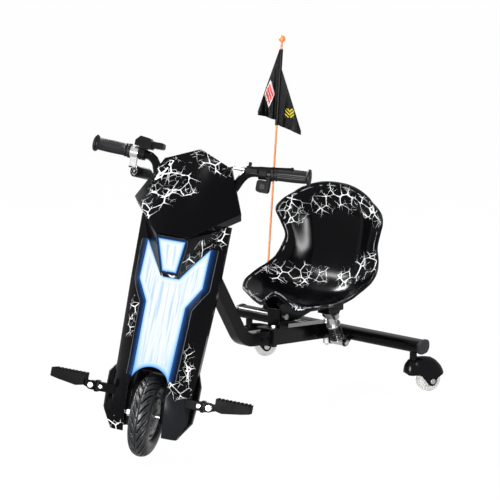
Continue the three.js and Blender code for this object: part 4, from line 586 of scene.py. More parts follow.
# Painted light on the bezel: a blue glow, strongest by the lens, standing in for the lens's light falling on
# the black plastic.
BEZEL_GLOW_STOPS = (
    (0.0, (0.020, 0.120, 0.42, 1)),
    (0.15, (0.007, 0.045, 0.17, 1)),
    (0.45, (0.002, 0.015, 0.055, 1)),
    (0.85, (0.0, 0.001, 0.004, 1)),
)
BEZEL_BLACK = (0.002, 0.002, 0.003, 1)
# A painted highlight: a thin pale line near the bezel's outer edge, where it would catch the light.
BEZEL_HIGHLIGHT_GREY = (0.16, 0.17, 0.18, 1)
BEZEL_HIGHLIGHT_OUT = 0.93


def light_material(name):
    """A lit lens: near white with faint upright streaks, light blue at its edge, a thin blue outline."""
    g = new_graph(name)
    edge, across, rise = (g.attribute(mark) for mark in ("edge", "across", "rise"))
    low = g.ranged(rise, 0.9, 2.4, 0.38, 1.0)
    colour = g.ramp(g.times(edge, low), LENS_STOPS)
    upright = g.add("CombineXYZ", {0: g.times(across, 14), 1: g.times(rise, 0.6)})
    streaks = g.noise(1.0, 3, 0.6, upright.outputs[0])
    cool = g.ranged(streaks, 0.48, 0.62, 0.0, 0.9)
    warm = g.ranged(streaks, 0.42, 0.30, 0.0, 0.5)
    inner = g.ranged(edge, 0.3, 0.6)
    colour = g.mix(g.times(cool, inner), colour, LENS_COOL)
    colour = g.mix(g.times(warm, inner), colour, LENS_WARM)
    line = g.ranged(g.apart(edge, LENS_LINE_IN), 0.035, 0.0, 0.0, 0.3)
    return g.finish(
        glow=g.mix(line, colour, LENS_LINE),
        glow_level=g.ranged(g.attribute("front"), 0.9, 1.0),
        colour=LENS_UNLIT,
        roughness=0.12,
        specular=0.05,
    )


def bezel_material(name):
    """Black plastic beside a lit lens, with painted light: a blue glow that fades outward, standing in for
    the lens's light falling on it, then a thin pale line that is a painted highlight near its outer edge.
    """
    g = new_graph(name)
    edge = g.attribute("edge")
    # The painted highlight line near the bezel's outer edge.
    line = g.ranged(g.apart(edge, BEZEL_HIGHLIGHT_OUT), 0.04, 0.01)
    return g.finish(
        colour=g.mix(line, BEZEL_BLACK, BEZEL_HIGHLIGHT_GREY),
        # Painted glow: emission standing in for the lens's light on the black plastic, made a little uneven.
        glow=g.ramp(edge, BEZEL_GLOW_STOPS),
        glow_level=g.spread(g.noise(60, 2), 0.85, 1.15),
        roughness=0.3,
        specular=0.04,
    )


# Horn: the middle of its front, the way back from there, and the ring and dot on it

HORN_FRONT = steered(-163, -42, 579)
HORN_TURN = math.radians(33)
HORN_BACKWARD = ACROSS * math.sin(HORN_TURN) - AHEAD * math.cos(HORN_TURN)
HORN_RING = 9.4 * MM
HORN_RING_WIDTH = 1.3 * MM
HORN_DOT = 3.6 * MM
HORN_MARK_DEPTH = 2.5 * MM
HORN_GREY = grey(0.32)


def horn_marks(g, under):
    """A colour with the ring and the dot on the horn's front laid over it."""
    depth = g.along(HORN_BACKWARD, HORN_FRONT)
    reach = g.distance(HORN_FRONT)
    out = g.math("SQRT", g.minus(g.times(reach, reach), g.times(depth, depth)))
    marks = g.most(g.below(g.apart(out, HORN_RING), HORN_RING_WIDTH), g.below(out, HORN_DOT))
    return g.mix(g.times(marks, g.below(depth, HORN_MARK_DEPTH)), under, HORN_GREY)


def split_finish(name, direction, start, marks=None):
    """Dark paint and bright metal on one piece, met at a plane, with marks painted over them."""
    g = new_graph(name)
    beyond = g.below(0.0, g.along(direction, start))
    mottle = g.grain(500)
    colour = g.mix(beyond, DARK_PAINT, g.mix(mottle, shaded(SILVER, 0.85), SILVER))
    return g.finish(
        colour=marks(g, colour) if marks else colour,
        metallic=beyond,
        roughness=g.spread(mottle, 0.24, 0.36),
        specular=0.12,
        normal=g.bump(mottle, 0.3, 0.00006, g.bevel(0.0008)),
    )


def marked_finish(name, mark, one, two, roughness, shine, mark_shine, metallic):
    """A finish that turns into another where a piece's own mark is set."""
    g = new_graph(name)
    share = g.attribute(mark)
    mottle = g.noise(60, 3)
    return g.finish(
        colour=g.mix(share, g.mix(mottle, shaded(one, 0.75), one), two),
        metallic=g.ranged(share, 0.0, 1.0, metallic, 0.0),
        specular=g.ranged(share, 0.0, 1.0, shine, mark_shine),
        roughness=g.spread(mottle, roughness * 0.85, roughness * 1.2),
        normal=g.bump(g.grain(500), 0.4, 0.0001),
    )


CLOTH_MARKS = ("cloth_across", "cloth_down", "red_print", "white_print", "yellow_print")
PRINT_COLOURS = ((0.55, 0.03, 0.03, 1), (0.8, 0.8, 0.8, 1), (0.85, 0.72, 0.04, 1))
THREADS = 5200


def weave_material(name, colour):
    """Woven cloth with the prints that its points are marked with."""
    g = new_graph(name)
    warp, weft, *prints = (g.attribute(mark) for mark in CLOTH_MARKS)
    threads = g.times(*(g.math("SINE", g.times(way, THREADS)) for way in (warp, weft)))
    broad = g.noise(30, 3)
    base = g.mix(broad, shaded(colour, 0.7), colour)
    for share, ink in zip(prints, PRINT_COLOURS):
        base = g.mix(share, base, ink)
    return g.finish(
        colour=base,
        roughness=g.spread(broad, 0.32, 0.42),
        specular=0.09,
        normal=g.bump(threads, 0.4, 0.0002),
    )


def cracks_at(*rows):
    """Clusters from rows of across, ahead, along and radius."""
    return [(steered(u, v, w), radius * MM) for u, v, w, radius in rows]


HEAD_CRACKS = cracks_at(
    (-86, 60, 500, 34), (-54, 50, 518, 30), (-62, 4, 588, 36), (-8, 25, 556, 34),
    (14, -26, 629, 34), (62, -20, 622, 28), (-84, 30, 545, 24),
)
NOSE_CRACKS = cracks_at(
    (70, 40, 416, 26), (98, 24, 464, 24), (44, 60, 381, 20), (22, 77, 350, 14), (0, 74, 338, 22)
)
BODY_CRACKS = cracks_at(
    (-88, 45, 408, 24), (-82, 50, 255, 20), (-84, 45, 205, 24), (-70, 55, -36, 22), (92, 20, 445, 26),
    (102, 10, 467, 22), (88, 60, 170, 24), (94, 60, 120, 28), (74, 62, 74, 26), (52, 70, 80, 20),
    (108, 58, 66, 22),
)
TYRE_BLACK = (0.0085, 0.0095, 0.012, 1)
PERCH_START = steered(119, 0, 0)
HORN_CLAMP_START = steered(0, 0, 590)

# Finishes by the kind of node that has them, or by a name that several kinds share

MATERIALS = {
    # The tyre's grooves are painted near black with little shine: painted shade in the tread's recesses.
    "front_tyre": marked_finish("tyre_rubber", "groove_shade", TYRE_BLACK, grey(0.0006), 0.42, 0.27, 0.02, 0.0),
    "hub": marked_finish("hub_and_rim", "dark", grey(0.55), grey(0.005), 0.3, 0.5, 0.12, 1.0),
    "hub_motor": brushed("motor_alloy", 0.42),
    "steel": brushed("bright_steel", 0.36, 0.34),
    "paint": surface("black_paint", grey(0.0020, 1.15), 0.15, 0.2, 350, 0.00003, 0.0020, 0.085),
    "grip": surface("grip_rubber", grey(0.005, 1.25), 0.45, 0.25, 700, 0.0002, shine=0.12),
    "plastic": surface("black_plastic", grey(0.003, 1.1), 0.3, 0.2, 900, 0.00008, 0.0012, 0.09),
    "brake_cable": surface("cable_sheath", grey(0.004), 0.35, 0.2, 300, 0.0001, shine=0.12),
    "switch_button": surface("button_plastic", grey(0.03), 0.25, 0.2, 500, 0.00005, shine=0.2),
    "rear_cover": surface("cover_plastic", grey(0.018, 1.15), 0.5, 0.2, 700, 0.0001, 0.0015, 0.12),
    "nose_cover": crackle("nose_crackle", NOSE_CRACKS, (0.1, 0.2, 0.05)),
    "battery_pack": surface("battery_case", (0.03, 0.09, 0.3, 1), 0.4, 0.1, 300, 0.0001),
    "controller": brushed("controller_case", 0.3, 0.4),
    "foot_peg": surface("peg_plastic", grey(0.0025, 1.1), 0.6, 0.2, 700, 0.0002, shine=0.04),
    "bearing": brushed("bearing_steel", 0.4, 0.35),
    "tube_cap": surface("cap_plastic", grey(0.010, 1.35), 0.4, 0.2, 700, 0.0001, 0.0015, 0.16),
    "alloy": brushed("shock_alloy", 0.4, 0.3),
    "shock_spring": surface("spring_paint", grey(0.004), 0.22, 0.2, 300, 0.00005, shine=0.2),
    "orange": surface("pole_orange", (0.85, 0.25, 0.06, 1), 0.35, 0.08, 300, 0.00005, shine=0.4),
    "caster_hood": surface("hood_plastic", grey(0.0035, 1.3), 0.18, 0.2, 500, 0.00005, 0.0015, 0.09),
    "caster_wheel": surface("caster_white", (0.72, 0.72, 0.70, 1), 0.45, 0.04, 300, 0.00002, shine=0.35),
    "head_fairing": crackle("head_crackle", HEAD_CRACKS, (0.0, 0.0, 0.0), 0.04),
    "body_fairing": crackle("body_crackle", BODY_CRACKS, (0.2, 0.4, 0.1), lighter_low_right=True),
    "seat_shell": crackle("seat_crackle", seat_cracks(), (0.41, 0.13, 0.29), rim=True),
    "light": light_material("light_lens"),
    "bezel": bezel_material("light_bezel"),
    "flag": weave_material("flag_cloth", grey(0.0014, 1.2)),
    "horn": split_finish("horn_and_clamp", ALONG, HORN_CLAMP_START, horn_marks),
    "brake_perch": split_finish("perch_and_adjuster", -ACROSS, PERCH_START),
}

SHARED_FINISHES = {
    "steel": "wheel_axle peg_pin length_lock_bolt junction_bolt seat_pivot_bolt shock_top_bolt"
    " shock_lower_bolt caster_axle",
    "paint": "fork handlebar_stem handlebar brake_lever peg_bracket main_frame rear_sleeve"
    " rear_cross_tube seat_riser seat_bracket shock_top_mount flag_socket",
    "plastic": "throttle_housing throttle_lever switch_block sleeve_collar",
    "light": "upper_lens panel_lens",
    "bearing": "headset_bearing_upper headset_bearing_lower",
    "alloy": "shock_cylinder shock_rod",
    "orange": "flag_pole flag_ball",
}
FINISH_OF = {kind: finish for finish, kinds in SHARED_FINISHES.items() for kind in kinds.split()}
WELD_REACH = 0.01 * MM


def dress_nodes():
    """Gives each CAD node its finish and shades its round faces smooth."""
    for name, node in frame["nodes"].items():
        mesh = node.data
        mesh.materials.clear()
        kind = name.removesuffix("_left").removesuffix("_right")
        mesh.materials.append(MATERIALS[FINISH_OF.get(kind, kind)])
        normals = mesh.attributes.get("custom_normal")
        if normals:
            mesh.attributes.remove(normals)
        for polygon in mesh.polygons:
            polygon.use_smooth = True
            polygon.material_index = 0
        node.modifiers.new("weld", "WELD").merge_threshold = WELD_REACH
        split_edges(node, SMOOTH_ANGLE)


# Body surface in the steered frame: rise, then crest, shoulder and edge, each across and ahead, as shares

BODY_ROWS = (
    (0, 0.446, 0.725, 0.67, 0.688, 0.741, 0.575),
    (0.082, 0.43, 0.925, 0.768, 0.775, 0.929, 0.675),
    (0.2, 0.43, 1, 0.75, 0.7, 0.893, 0.375),
    (0.307, 0.41, 0.875, 0.75, 0.6, 0.911, 0.225),
    (0.699, 0.41, 0.575, 0.732, 0.45, 0.982, 0.025),
    (1, 0.41, 0.34, 0.732, 0.1, 1, -0.05),
)
BODY_FOOT = -45
BODY_HEIGHT = 525
BODY_HALF_WIDTH = 112
BODY_AHEAD = 80
NOSE_RISE = (337, 433)
NOSE_AHEAD = (70, 105)
RAY_START = 300


def body_ahead(u, w):
    """How far ahead the body's outer face lies, across at u and along at w."""
    heights, *columns = np.array(BODY_ROWS).T
    shares = [np.interp((w - BODY_FOOT) / BODY_HEIGHT, heights, column) for column in columns]
    across = [0] + [share * BODY_HALF_WIDTH for share in shares[::2]]
    ahead = [share * BODY_AHEAD for share in (shares[1], *shares[1::2])]
    return float(np.interp(abs(u), across, ahead))


def nose_ahead(_, w):
    """How far ahead the nose cover's outer face lies: the same all the way across."""
    return float(np.interp(w, NOSE_RISE, NOSE_AHEAD))


def face_of(name, spare):
    """How far ahead a solid's own outer face lies, across at u and along at w."""
    mesh = frame["nodes"][name].data
    points = [v.co.copy() for v in mesh.vertices]
    tree = BVHTree.FromPolygons(points, [tuple(f.vertices) for f in mesh.polygons])

    def ahead(u, w):
        place = steered(u, RAY_START, w)
        hit = tree.ray_cast(place, -AHEAD)[0]
        return spare(u, w) if hit is None else RAY_START - (hit - place).length / MM

    return ahead


# Lit panel: a patch between four edges, laid on the body's face

PANEL_SIDE = ((46, 84), (50, 270), (80, 322), (80, 419))
PANEL_NOTCH = (20, 335)
PANEL_ARCH_RADIUS = 48.6
ARCH_CENTRE = 70
PANEL_SUNK = 0.9
PANEL_INSET = 0.5
PANEL_DEPTH = 3
PANEL_BEZEL_LOW = 90
PANEL_BEZEL_WIDTH = 15
UPPER_LENS = ((17, 349), (33, 424))
UPPER_SUNK = 0.4
UPPER_DEPTH = 3.4
UPPER_BEZEL_WIDTH = 6
LENS_EDGE_WIDTH = 24
LENS_UNIT = 10 * MM
BEZEL_START = 0.8
BEZEL_LIFT = 0.15
BEZEL_THICKNESS = 0.7
BEZEL_SHARES = (0, 0.06, 0.15, 0.28, 0.45, 0.65, 0.85, 0.9, 0.96, 1)


def polyline(points, count):
    """Evenly spaced points along a chain of straight stretches."""
    p = np.array(points, float)
    lengths = np.concatenate([[0], np.cumsum(np.hypot(*np.diff(p, axis=0).T))])
    t = np.linspace(0, lengths[-1], count)
    return np.stack([np.interp(t, lengths, values) for values in p.T], 1)


def patch(bottom, top, left, right):
    """Points filled in between four edges that meet at their ends."""
    rows, columns = len(left), len(bottom)
    s = np.linspace(0, 1, columns)[None, :, None]
    t = np.linspace(0, 1, rows)[:, None, None]
    ruled = (1 - t) * bottom[None] + t * top[None] + (1 - s) * left[:, None] + s * right[:, None]
    low, high = ((1 - s) * edge[0] + s * edge[-1] for edge in (bottom, top))
    return ruled - (1 - t) * low - t * high


def edge_distance(points, outline):
    """The distance of each point from a closed outline."""
    best = np.full(len(points), np.inf)
    for a, b in zip(outline, np.roll(outline, -1, axis=0)):
        run = b - a
        t = np.clip((points - a) @ run / (run @ run), 0, 1)
        best = np.minimum(best, np.hypot(*(points - (a + t[:, None] * run)).T))
    return best


def lens_piece(name, edges, ahead, depth, replaced):
    """A lens from its four edges, with each point's distance from its outline and own place kept."""
    grid = patch(*edges)
    outline = np.array([grid[place] for place in grid_border(grid)])
    flat = grid.reshape(-1, 2)
    distance = edge_distance(flat, outline)
    front = [steered(u, ahead(u, w), w) for u, w in flat]
    back = [steered(u, ahead(u, w) - depth, w) for u, w in flat]
    faces = sheet_faces(turned(grid_faces(*grid.shape[:2])), len(front), turn_edge=True)
    piece = mesh_piece(name, front + back, faces, "steering", "light_lens", "light", SMOOTH_ANGLE)
    mark_points(piece, "edge", np.tile(np.clip(distance / LENS_EDGE_WIDTH, 0, 1), 2))
    mark_points(piece, "across", np.tile(flat[:, 0] * LENS_UNIT, 2))
    mark_points(piece, "rise", np.tile(flat[:, 1] * LENS_UNIT, 2))
    mark_points(piece, "front", [1.0] * len(front) + [0.0] * len(back))
    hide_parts(replaced)
    return outline


def bezel_piece(name, outline, closed, width, ahead):
    """A thin band around a lens, with the share of the way across it kept."""
    p = np.array(outline, float)
    run = np.roll(p, -1, axis=0) - np.roll(p, 1, axis=0) if closed else np.gradient(p, axis=0)
    out = np.stack([run[:, 1], -run[:, 0]], 1)
    out /= np.linalg.norm(out, axis=1, keepdims=True)
    front, back = [], []
    for u, w, du, dw in np.hstack([p, out]):
        for share in BEZEL_SHARES:
            reach = BEZEL_START + share * width
            place = (u + du * reach, w + dw * reach)
            lift = ahead(*place)
            front.append(steered(place[0], lift + BEZEL_THICKNESS, place[1]))
            back.append(steered(place[0], lift + BEZEL_LIFT, place[1]))
    faces = sheet_faces(grid_faces(len(p), len(BEZEL_SHARES), close_rows=closed), len(front))
    piece = mesh_piece(name, front + back, faces, "steering", "light_lens", "bezel", SMOOTH_ANGLE)
    mark_points(piece, "edge", BEZEL_SHARES * (2 * len(p)))


def add_panel_bezels():
    side = polyline(PANEL_SIDE, 141)
    side = side[side[:, 1] > PANEL_BEZEL_LOW]
    ahead = face_of("body_fairing", body_ahead)
    bezel_piece("panel_bezel_left", side, False, PANEL_BEZEL_WIDTH, ahead)
    bezel_piece("panel_bezel_right", side[::-1] * (-1, 1), False, PANEL_BEZEL_WIDTH, ahead)


def add_panel_lens():
    side = np.array(PANEL_SIDE, float) - (PANEL_INSET, 0)
    height = math.sqrt(PANEL_ARCH_RADIUS**2 - side[0, 0] ** 2)
    side[0, 1] = ARCH_CENTRE + height
    reach = math.atan2(height, side[0, 0])
    angles = np.linspace(math.pi - reach, reach, 61)
    arch = np.stack([np.cos(angles), np.sin(angles)], 1)
    bottom = (0, ARCH_CENTRE) + PANEL_ARCH_RADIUS * arch
    right = polyline(side, 121)
    tip = tuple(side[-1])
    notch = (PANEL_NOTCH[0], PANEL_NOTCH[1] + PANEL_INSET)
    top = polyline([(-tip[0], tip[1]), (-notch[0], notch[1]), notch, tip], 61)
    ahead = lambda u, w: body_ahead(u, w) - PANEL_SUNK
    lens_piece("panel_light", (bottom, top, right * (-1, 1), right), ahead, PANEL_DEPTH, "panel_lens")


def add_upper_lens():
    bottom, top = (polyline([(-half, along), (half, along)], 41) for half, along in UPPER_LENS)
    left = polyline([bottom[0], top[0]], 41)
    edges = (bottom, top, left, left * (-1, 1))
    ahead = lambda u, w: nose_ahead(u, w) - UPPER_SUNK
    outline = lens_piece("upper_light", edges, ahead, UPPER_DEPTH, "upper_lens")
    face = face_of("nose_cover", nose_ahead)
    bezel_piece("upper_bezel", outline, True, UPPER_BEZEL_WIDTH, face)


# Front wheel: a tyre with a directional tread, and the hub

WHEEL_CENTRE = steered(0, WHEEL_LEAD, 0)
TREAD_GROOVES = 26
TREAD_DEPTH = 2.4
TREAD_SWEEP = -28 / 360 * TREAD_GROOVES
TREAD_REACH = 1.25
TREAD_STEEP = 30
TYRE_STEPS = 780
BEAD_RADIUS = 58
BEAD_HALF = 16
HUB_HALF_PROFILE = [
    (6.4, -22), (16, -22), (17, -20.5), (30, -20), (43, -19), (47, -14), (50, -13), (52, -15.5),
    (55.5, -16), (57.6, -15),
]
HUB_SCREWS = 6
HUB_SCREW_REACH = 36
HUB_SCREW_OUT = 19.2
HUB_SCREW_PROFILE = [(ON_AXIS, 0), (3, 0), (3, 1.6), (2.4, 2.2), (ON_AXIS, 2.2)]
HUB_BRIGHT_FROM = 55


def slash(count, width):
    """1 in slashes midway between whole counts, 0 beside them."""
    return np.clip((width - np.abs(count % 1 - 0.5)) * TREAD_STEEP, 0, 1)


def tread_depth(turn, share, start):
    """Depth of the curved slashes at a share of a turn and a share of the way to the shoulder."""
    count = TREAD_GROOVES * turn + TREAD_SWEEP * share**0.7 + start
    fade = np.clip((1.0 - share) * 3, 0, 1)
    long = slash(count + 0.5, 0.16 * np.clip((share - 0.05) * 7, 0, 1) * fade)
    short = slash(count, 0.09 * np.clip((share - 0.36) * 5, 0, 1) * fade)
    middle = np.clip((0.035 - share) * 60, 0, 1) * 0.6
    return TREAD_DEPTH * np.maximum(np.maximum(long, short * 0.8), middle)


def add_tyre():
    shoulder = math.asin((BEAD_RADIUS - TYRE_MIDDLE) / TYRE_SECTION)
    section = np.linspace(math.pi - shoulder, shoulder, 61)
    across = np.cos(section) * TYRE_SECTION
    rise = np.sin(section) * TYRE_SECTION
    share = np.clip(np.abs(section - math.pi / 2) / TREAD_REACH, 0, 1)
    points, groove_shades = [], []
    for turn in np.arange(TYRE_STEPS) / TYRE_STEPS:
        out = turned_by(turn, AHEAD, ALONG)
        depth = tread_depth(turn, share, np.where(across < 0, 0.5, 0))
        # Each point's share of the groove's depth, which sets the painted shade in the grooves.
        groove_shades += list(np.clip(depth / TREAD_DEPTH, 0, 1)) + [0, 0]
        scale = 1 - depth / TYRE_SECTION
        ring = list(zip(across * scale, TYRE_MIDDLE + rise * scale))
        ring += [(BEAD_HALF, BEAD_RADIUS), (-BEAD_HALF, BEAD_RADIUS)]
        points += [WHEEL_CENTRE + ACROSS * (a * MM) + out * (r * MM) for a, r in ring]
    faces = grid_faces(TYRE_STEPS, len(section) + 2, close_rows=True, close_columns=True)
    piece = mesh_piece("tyre_tread", points, faces, "front_wheel", "tyre_rubber", "front_tyre", 50)
    mark_points(piece, "groove_shade", groove_shades)
    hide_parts("front_tyre")


def add_hub():
    profile = HUB_HALF_PROFILE + [(radius, -along) for radius, along in reversed(HUB_HALF_PROFILE)]
    parts = [lathe(profile, WHEEL_CENTRE, ACROSS, 96)]
    for side in (-1, 1):
        for k in range(HUB_SCREWS):
            out = turned_by(k / HUB_SCREWS, AHEAD, ALONG) * (HUB_SCREW_REACH * MM)
            place = WHEEL_CENTRE + out + ACROSS * (side * HUB_SCREW_OUT * MM)
            parts.append(lathe(HUB_SCREW_PROFILE, place, ACROSS * side, 16))
    points, faces = merged(parts)
    piece = mesh_piece("hub_shell", points, faces, "front_wheel", "motor_silver", "hub", 40)
    offsets = [p - WHEEL_CENTRE for p in points]
    radii = [(p - ACROSS * p.dot(ACROSS)).length / MM for p in offsets]
    mark_points(piece, "dark", [0.0 if r > HUB_BRIGHT_FROM else 0.85 for r in radii])
    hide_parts("hub_motor")


# Bolts that hold the peg brackets

BRACKET_BOLT = (123, 52.2, 47)
BRACKET_BOLT_PROFILE = [
    (ON_AXIS, 0), (5.2, 0), (5.2, 1.4), (4.6, 2), (2.6, 2.2), (2.4, 1.4), (ON_AXIS, 1.4)
]


def add_bracket_bolts():
    u, v, w = BRACKET_BOLT
    for side, name in ((1, "left"), (-1, "right")):
        bolt = lathe(BRACKET_BOLT_PROFILE, steered(side * u, v, w), AHEAD, 24)
        name = "bracket_bolt_" + name
        mesh_piece(name, *bolt, "steering", "bright_steel", "steel", SMOOTH_ANGLE)


# Grips: distance from the inner or the outer end, radius, and 1 where there are lengthwise ribs

BAR_BEHIND = 48
BAR_END_ALONG = 633
BAR_SLOPE = 0.0625
GRIP_INNER = 181.2
GRIP_OUTER = 277
GRIP_LENGTH = GRIP_OUTER - GRIP_INNER
GRIP_SIDES = 96
GRIP_RIBS = 16
GRIP_RIB = 0.85
GRIP_RIB_SUNK = 0.3
GRIP_STATIONS = [
    (0, 11.4, 0), (0, 17.6, 0), (1, 18, 0), (5, 18, 0), (6, 17, 0), (7, 15.4, 0), (9, 15.2, 0),
    (10, 16.8, 0), (13, 17, 0), (14, 15.6, 0), (16, 15.0, 1), (30, 15.3, 1), (50, 15.8, 1), (70, 15.6, 1),
]
GRIP_END_STATIONS = [
    (12, 15.2, 1), (10, 15.0, 0), (8, 16, 0), (7, 19.6, 0), (5.5, 20.8, 0), (2.5, 21, 0), (0.6, 20, 0),
    (0, 18, 0), (0, 6, 0), (1.2, 5.4, 0), (1.2, ON_AXIS, 0),
]


def on_bar(u):
    """A point on the handlebar's line, across at u."""
    return steered(u, -BAR_BEHIND, BAR_END_ALONG - (GRIP_OUTER - abs(u)) * BAR_SLOPE)


def add_grip(side, name):
    start, end = on_bar(side * GRIP_INNER), on_bar(side * GRIP_OUTER)
    line = (end - start).normalized()
    one, two = frame_about(line)
    stations = GRIP_STATIONS + [(GRIP_LENGTH - back, *rest) for back, *rest in GRIP_END_STATIONS]
    points = []
    for along, radius, ribbed in stations:
        for k in range(GRIP_SIDES):
            wave = math.cos(GRIP_RIBS * 2 * math.pi * k / GRIP_SIDES)
            rib = GRIP_RIB * (0.5 + 0.5 * wave) ** 0.7 - GRIP_RIB_SUNK
            out = turned_by(k / GRIP_SIDES, one, two)
            points.append(start + line * (along * MM) + out * ((radius + ribbed * rib) * MM))
    faces = grid_faces(len(stations), GRIP_SIDES, close_columns=True)
    piece = mesh_piece("ribbed_" + name, points, faces, "steering", "grip_rubber", "grip", 40)
    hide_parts(name)


# Bucket seat

BOLSTER_LOW = (0.42, 0.3)
BOLSTER_HIGH = (0.8, 0.16)
BOLSTER_SLOPE = (0.3, 0.3)


def grid_normals(grid):
    """Unit normals of a grid, away from the rider."""
    normal = np.cross(np.gradient(grid, axis=0), np.gradient(grid, axis=1))
    return normal / np.linalg.norm(normal, axis=2, keepdims=True)


def smooth_step(value, start, width):
    """0 before a start, 1 a width beyond it, and an even bend between."""
    t = np.clip((value - start) / width, 0, 1)
    return t**2 * (3 - 2 * t)


def bolstered(grid, normal):
    """The seat's face with the middle of its back set in between two bolsters."""
    rows, columns = grid.shape[:2]
    along = np.linspace(0, 1, rows)[:, None]
    across = np.abs(np.linspace(-1, 1, columns))[None]
    back = smooth_step(along, *BOLSTER_LOW) * (1 - smooth_step(along, *BOLSTER_HIGH))
    straight = np.clip((across - BOLSTER_SLOPE[0]) / BOLSTER_SLOPE[1], 0, 1)
    middle = 1 - 0.7 * straight - 0.3 * smooth_step(across, *BOLSTER_SLOPE)
    return grid + normal * (BOLSTER_DEPTH * back * middle)[:, :, None]


def add_seat():
    grid = seat_surface()
    grid = bolstered(grid, grid_normals(grid))
    normal = grid_normals(grid)
    points = [world(*p) for p in np.concatenate([grid, grid + normal * SEAT_WALL]).reshape(-1, 3)]
    faces = sheet_faces(turned(grid_faces(*grid.shape[:2])), len(points) // 2)
    piece = mesh_piece("bucket_seat", points, faces, "seat", "seat_plastic", "seat_shell", 60)
    # Each point's distance from the seat's edge places the painted highlight line inside the rim.
    border = grid_border(grid)
    edge = np.array([grid[place] for place in border])
    reach = [np.linalg.norm(row[:, None] - edge[None], axis=2).min(axis=1) for row in grid]
    mark_points(piece, "rim", np.tile(np.concatenate(reach) * MM, 2))
    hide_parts("seat_shell")
    bead = [world(*(grid[place] + normal[place] * SEAT_WALL / 2)) for place in border]
    mesh_piece("seat_rim", *tube(bead, RIM_BEAD * MM, 10, closed=True), "seat", "seat_plastic", "caster_hood")


# Shock spring as a smooth coil between its perches

SHOCK_TOP = Vector((62, 686, 200.5))
SHOCK_LOW = Vector((62, 726, 116.5))
SPRING_RADIUS = 17
SPRING_WIRE = 2.3
SPRING_TURNS = 5.5
SPRING_POINTS = 177
SPRING_LOW = 17.6
SPRING_TOP_GAP = 36.6


def add_spring():
    line = (SHOCK_TOP - SHOCK_LOW).normalized()
    high = (SHOCK_TOP - SHOCK_LOW).length - SPRING_TOP_GAP
    side = Vector((1, 0, 0))
    back = line.cross(side)
    path = []
    for share in np.linspace(0, 1, SPRING_POINTS):
        along = SPRING_LOW + (high - SPRING_LOW) * share
        out = turned_by(SPRING_TURNS * share, side, back) * SPRING_RADIUS
        path.append(world(*(SHOCK_LOW + line * along + out)))
    piece = mesh_piece("coil_spring", *tube(path, SPRING_WIRE * MM), None, "spring_paint", "shock_spring")
    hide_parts("shock_spring")
    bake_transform(piece)


# Flag pole, ball and cloth

POLE_X = -221
POLE_FOOT_Z = 152.3
POLE_LEAN = math.radians(5.6)
POLE_RADIUS = 3
POLE_LENGTH = 784
POLE_START = 6.5
POLE_SHORT = 0.5
BALL_RADIUS = 10
BALL_SEAM = 0.18
BALL_STEPS = 24
POLE_LINE = Vector((0, math.sin(POLE_LEAN), math.cos(POLE_LEAN)))
FLAG_TURN = math.radians(37)
CLOTH_RIGHT = Vector((math.cos(FLAG_TURN), math.sin(FLAG_TURN), 0))
CLOTH_FRONT = Vector((math.sin(FLAG_TURN), -math.cos(FLAG_TURN), 0))
FLAG_DROP = 29
FLAG_HEIGHT = 225
FLAG_LEFT = 57
FLAG_RIGHT = 71
FLAG_POINTS = (91, 61)
FLAG_SLEEVE = 5.2
SLEEVE_FLAT = 0.8
SLEEVE_SHARE = 0.96
SLEEVE_SIDES = 16
EYELET_DROP = 95
EYELET_HALF = 2.2
EYELET_SIDE = 12


def on_pole(distance):
    return Vector((POLE_X, CROSS_TUBE_Y, POLE_FOOT_Z)) + POLE_LINE * distance


def beside_cloth(drop):
    """The pole's point a drop below the top of the cloth."""
    return on_pole(POLE_LENGTH - FLAG_DROP - drop)


def add_pole():
    ends = (POLE_START, POLE_LENGTH - POLE_SHORT)
    rod = tube([world(*on_pole(d)) for d in np.linspace(*ends, 40)], POLE_RADIUS * MM, 20)
    piece = mesh_piece("pole", *rod, "rear", "pole_orange", "orange", SMOOTH_ANGLE)
    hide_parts("flag_pole")
    profile = [(ON_AXIS, -BALL_RADIUS)]
    for k in range(1, BALL_STEPS):
        angle = math.pi * (k / BALL_STEPS - 0.5)
        radius = BALL_RADIUS - BALL_SEAM if 2 * k == BALL_STEPS else BALL_RADIUS
        profile.append((radius * math.cos(angle), BALL_RADIUS * math.sin(angle)))
    profile.append((ON_AXIS, BALL_RADIUS))
    round_shape = lathe(profile, world(*on_pole(POLE_LENGTH)), POLE_LINE, 40)
    ball = mesh_piece("pole_ball", *round_shape, "rear", "pole_orange", "orange")
    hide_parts("flag_ball")


# Wings of the flag by side: width, drop at the top's ends and at the bottom's, fold and its phase

WINGS = {
    -1: (FLAG_LEFT, (0.0, 0.785), (0.893, 0.825), 8.5, 0.2),
    1: (FLAG_RIGHT, (0.255, 1.038), (0.963, 1.087), 4.0, 1.1),
}


def flag_point(side, across, down):
    """A point of one wing in millimetres, by its shares across and down."""
    width, top, low, fold, phase = WINGS[side]
    top_share = top[0] + (top[1] - top[0]) * across
    low_share = low[0] + (low[1] - low[0]) * across
    drop = (top_share + (low_share - top_share) * down) * FLAG_HEIGHT
    wave = fold * math.sin(across * 8.2 + phase) * (0.2 + 0.8 * down) * min(1, across * 4)
    wave += 1.4 * math.sin(across * 23 + down * 5) * down
    right = side * (FLAG_SLEEVE + (width - FLAG_SLEEVE) * across)
    return beside_cloth(drop) + CLOTH_RIGHT * right + CLOTH_FRONT * (wave * min(1, across * 6))


def prints(side, across, drop):
    """Shares of red, white and yellow print: bars on one wing, chevrons on the other."""
    if side < 0:
        x, y = (across - 0.40) / 0.28, (drop - 0.57) / 0.175
        away = abs(x) + abs(y)
        white = abs(((x + y) * 2) % 1 - 0.5) < 0.09 or abs(away - 0.93) < 0.07
        return away < 1, away < 1 and white, 0
    x, y = (across - 0.45) / 0.2, (drop - 0.80) / 0.055
    return 0, 0, abs(x) < 1 and abs(y) < 1 and abs((y + abs(x)) % 0.8 - 0.4) < 0.17


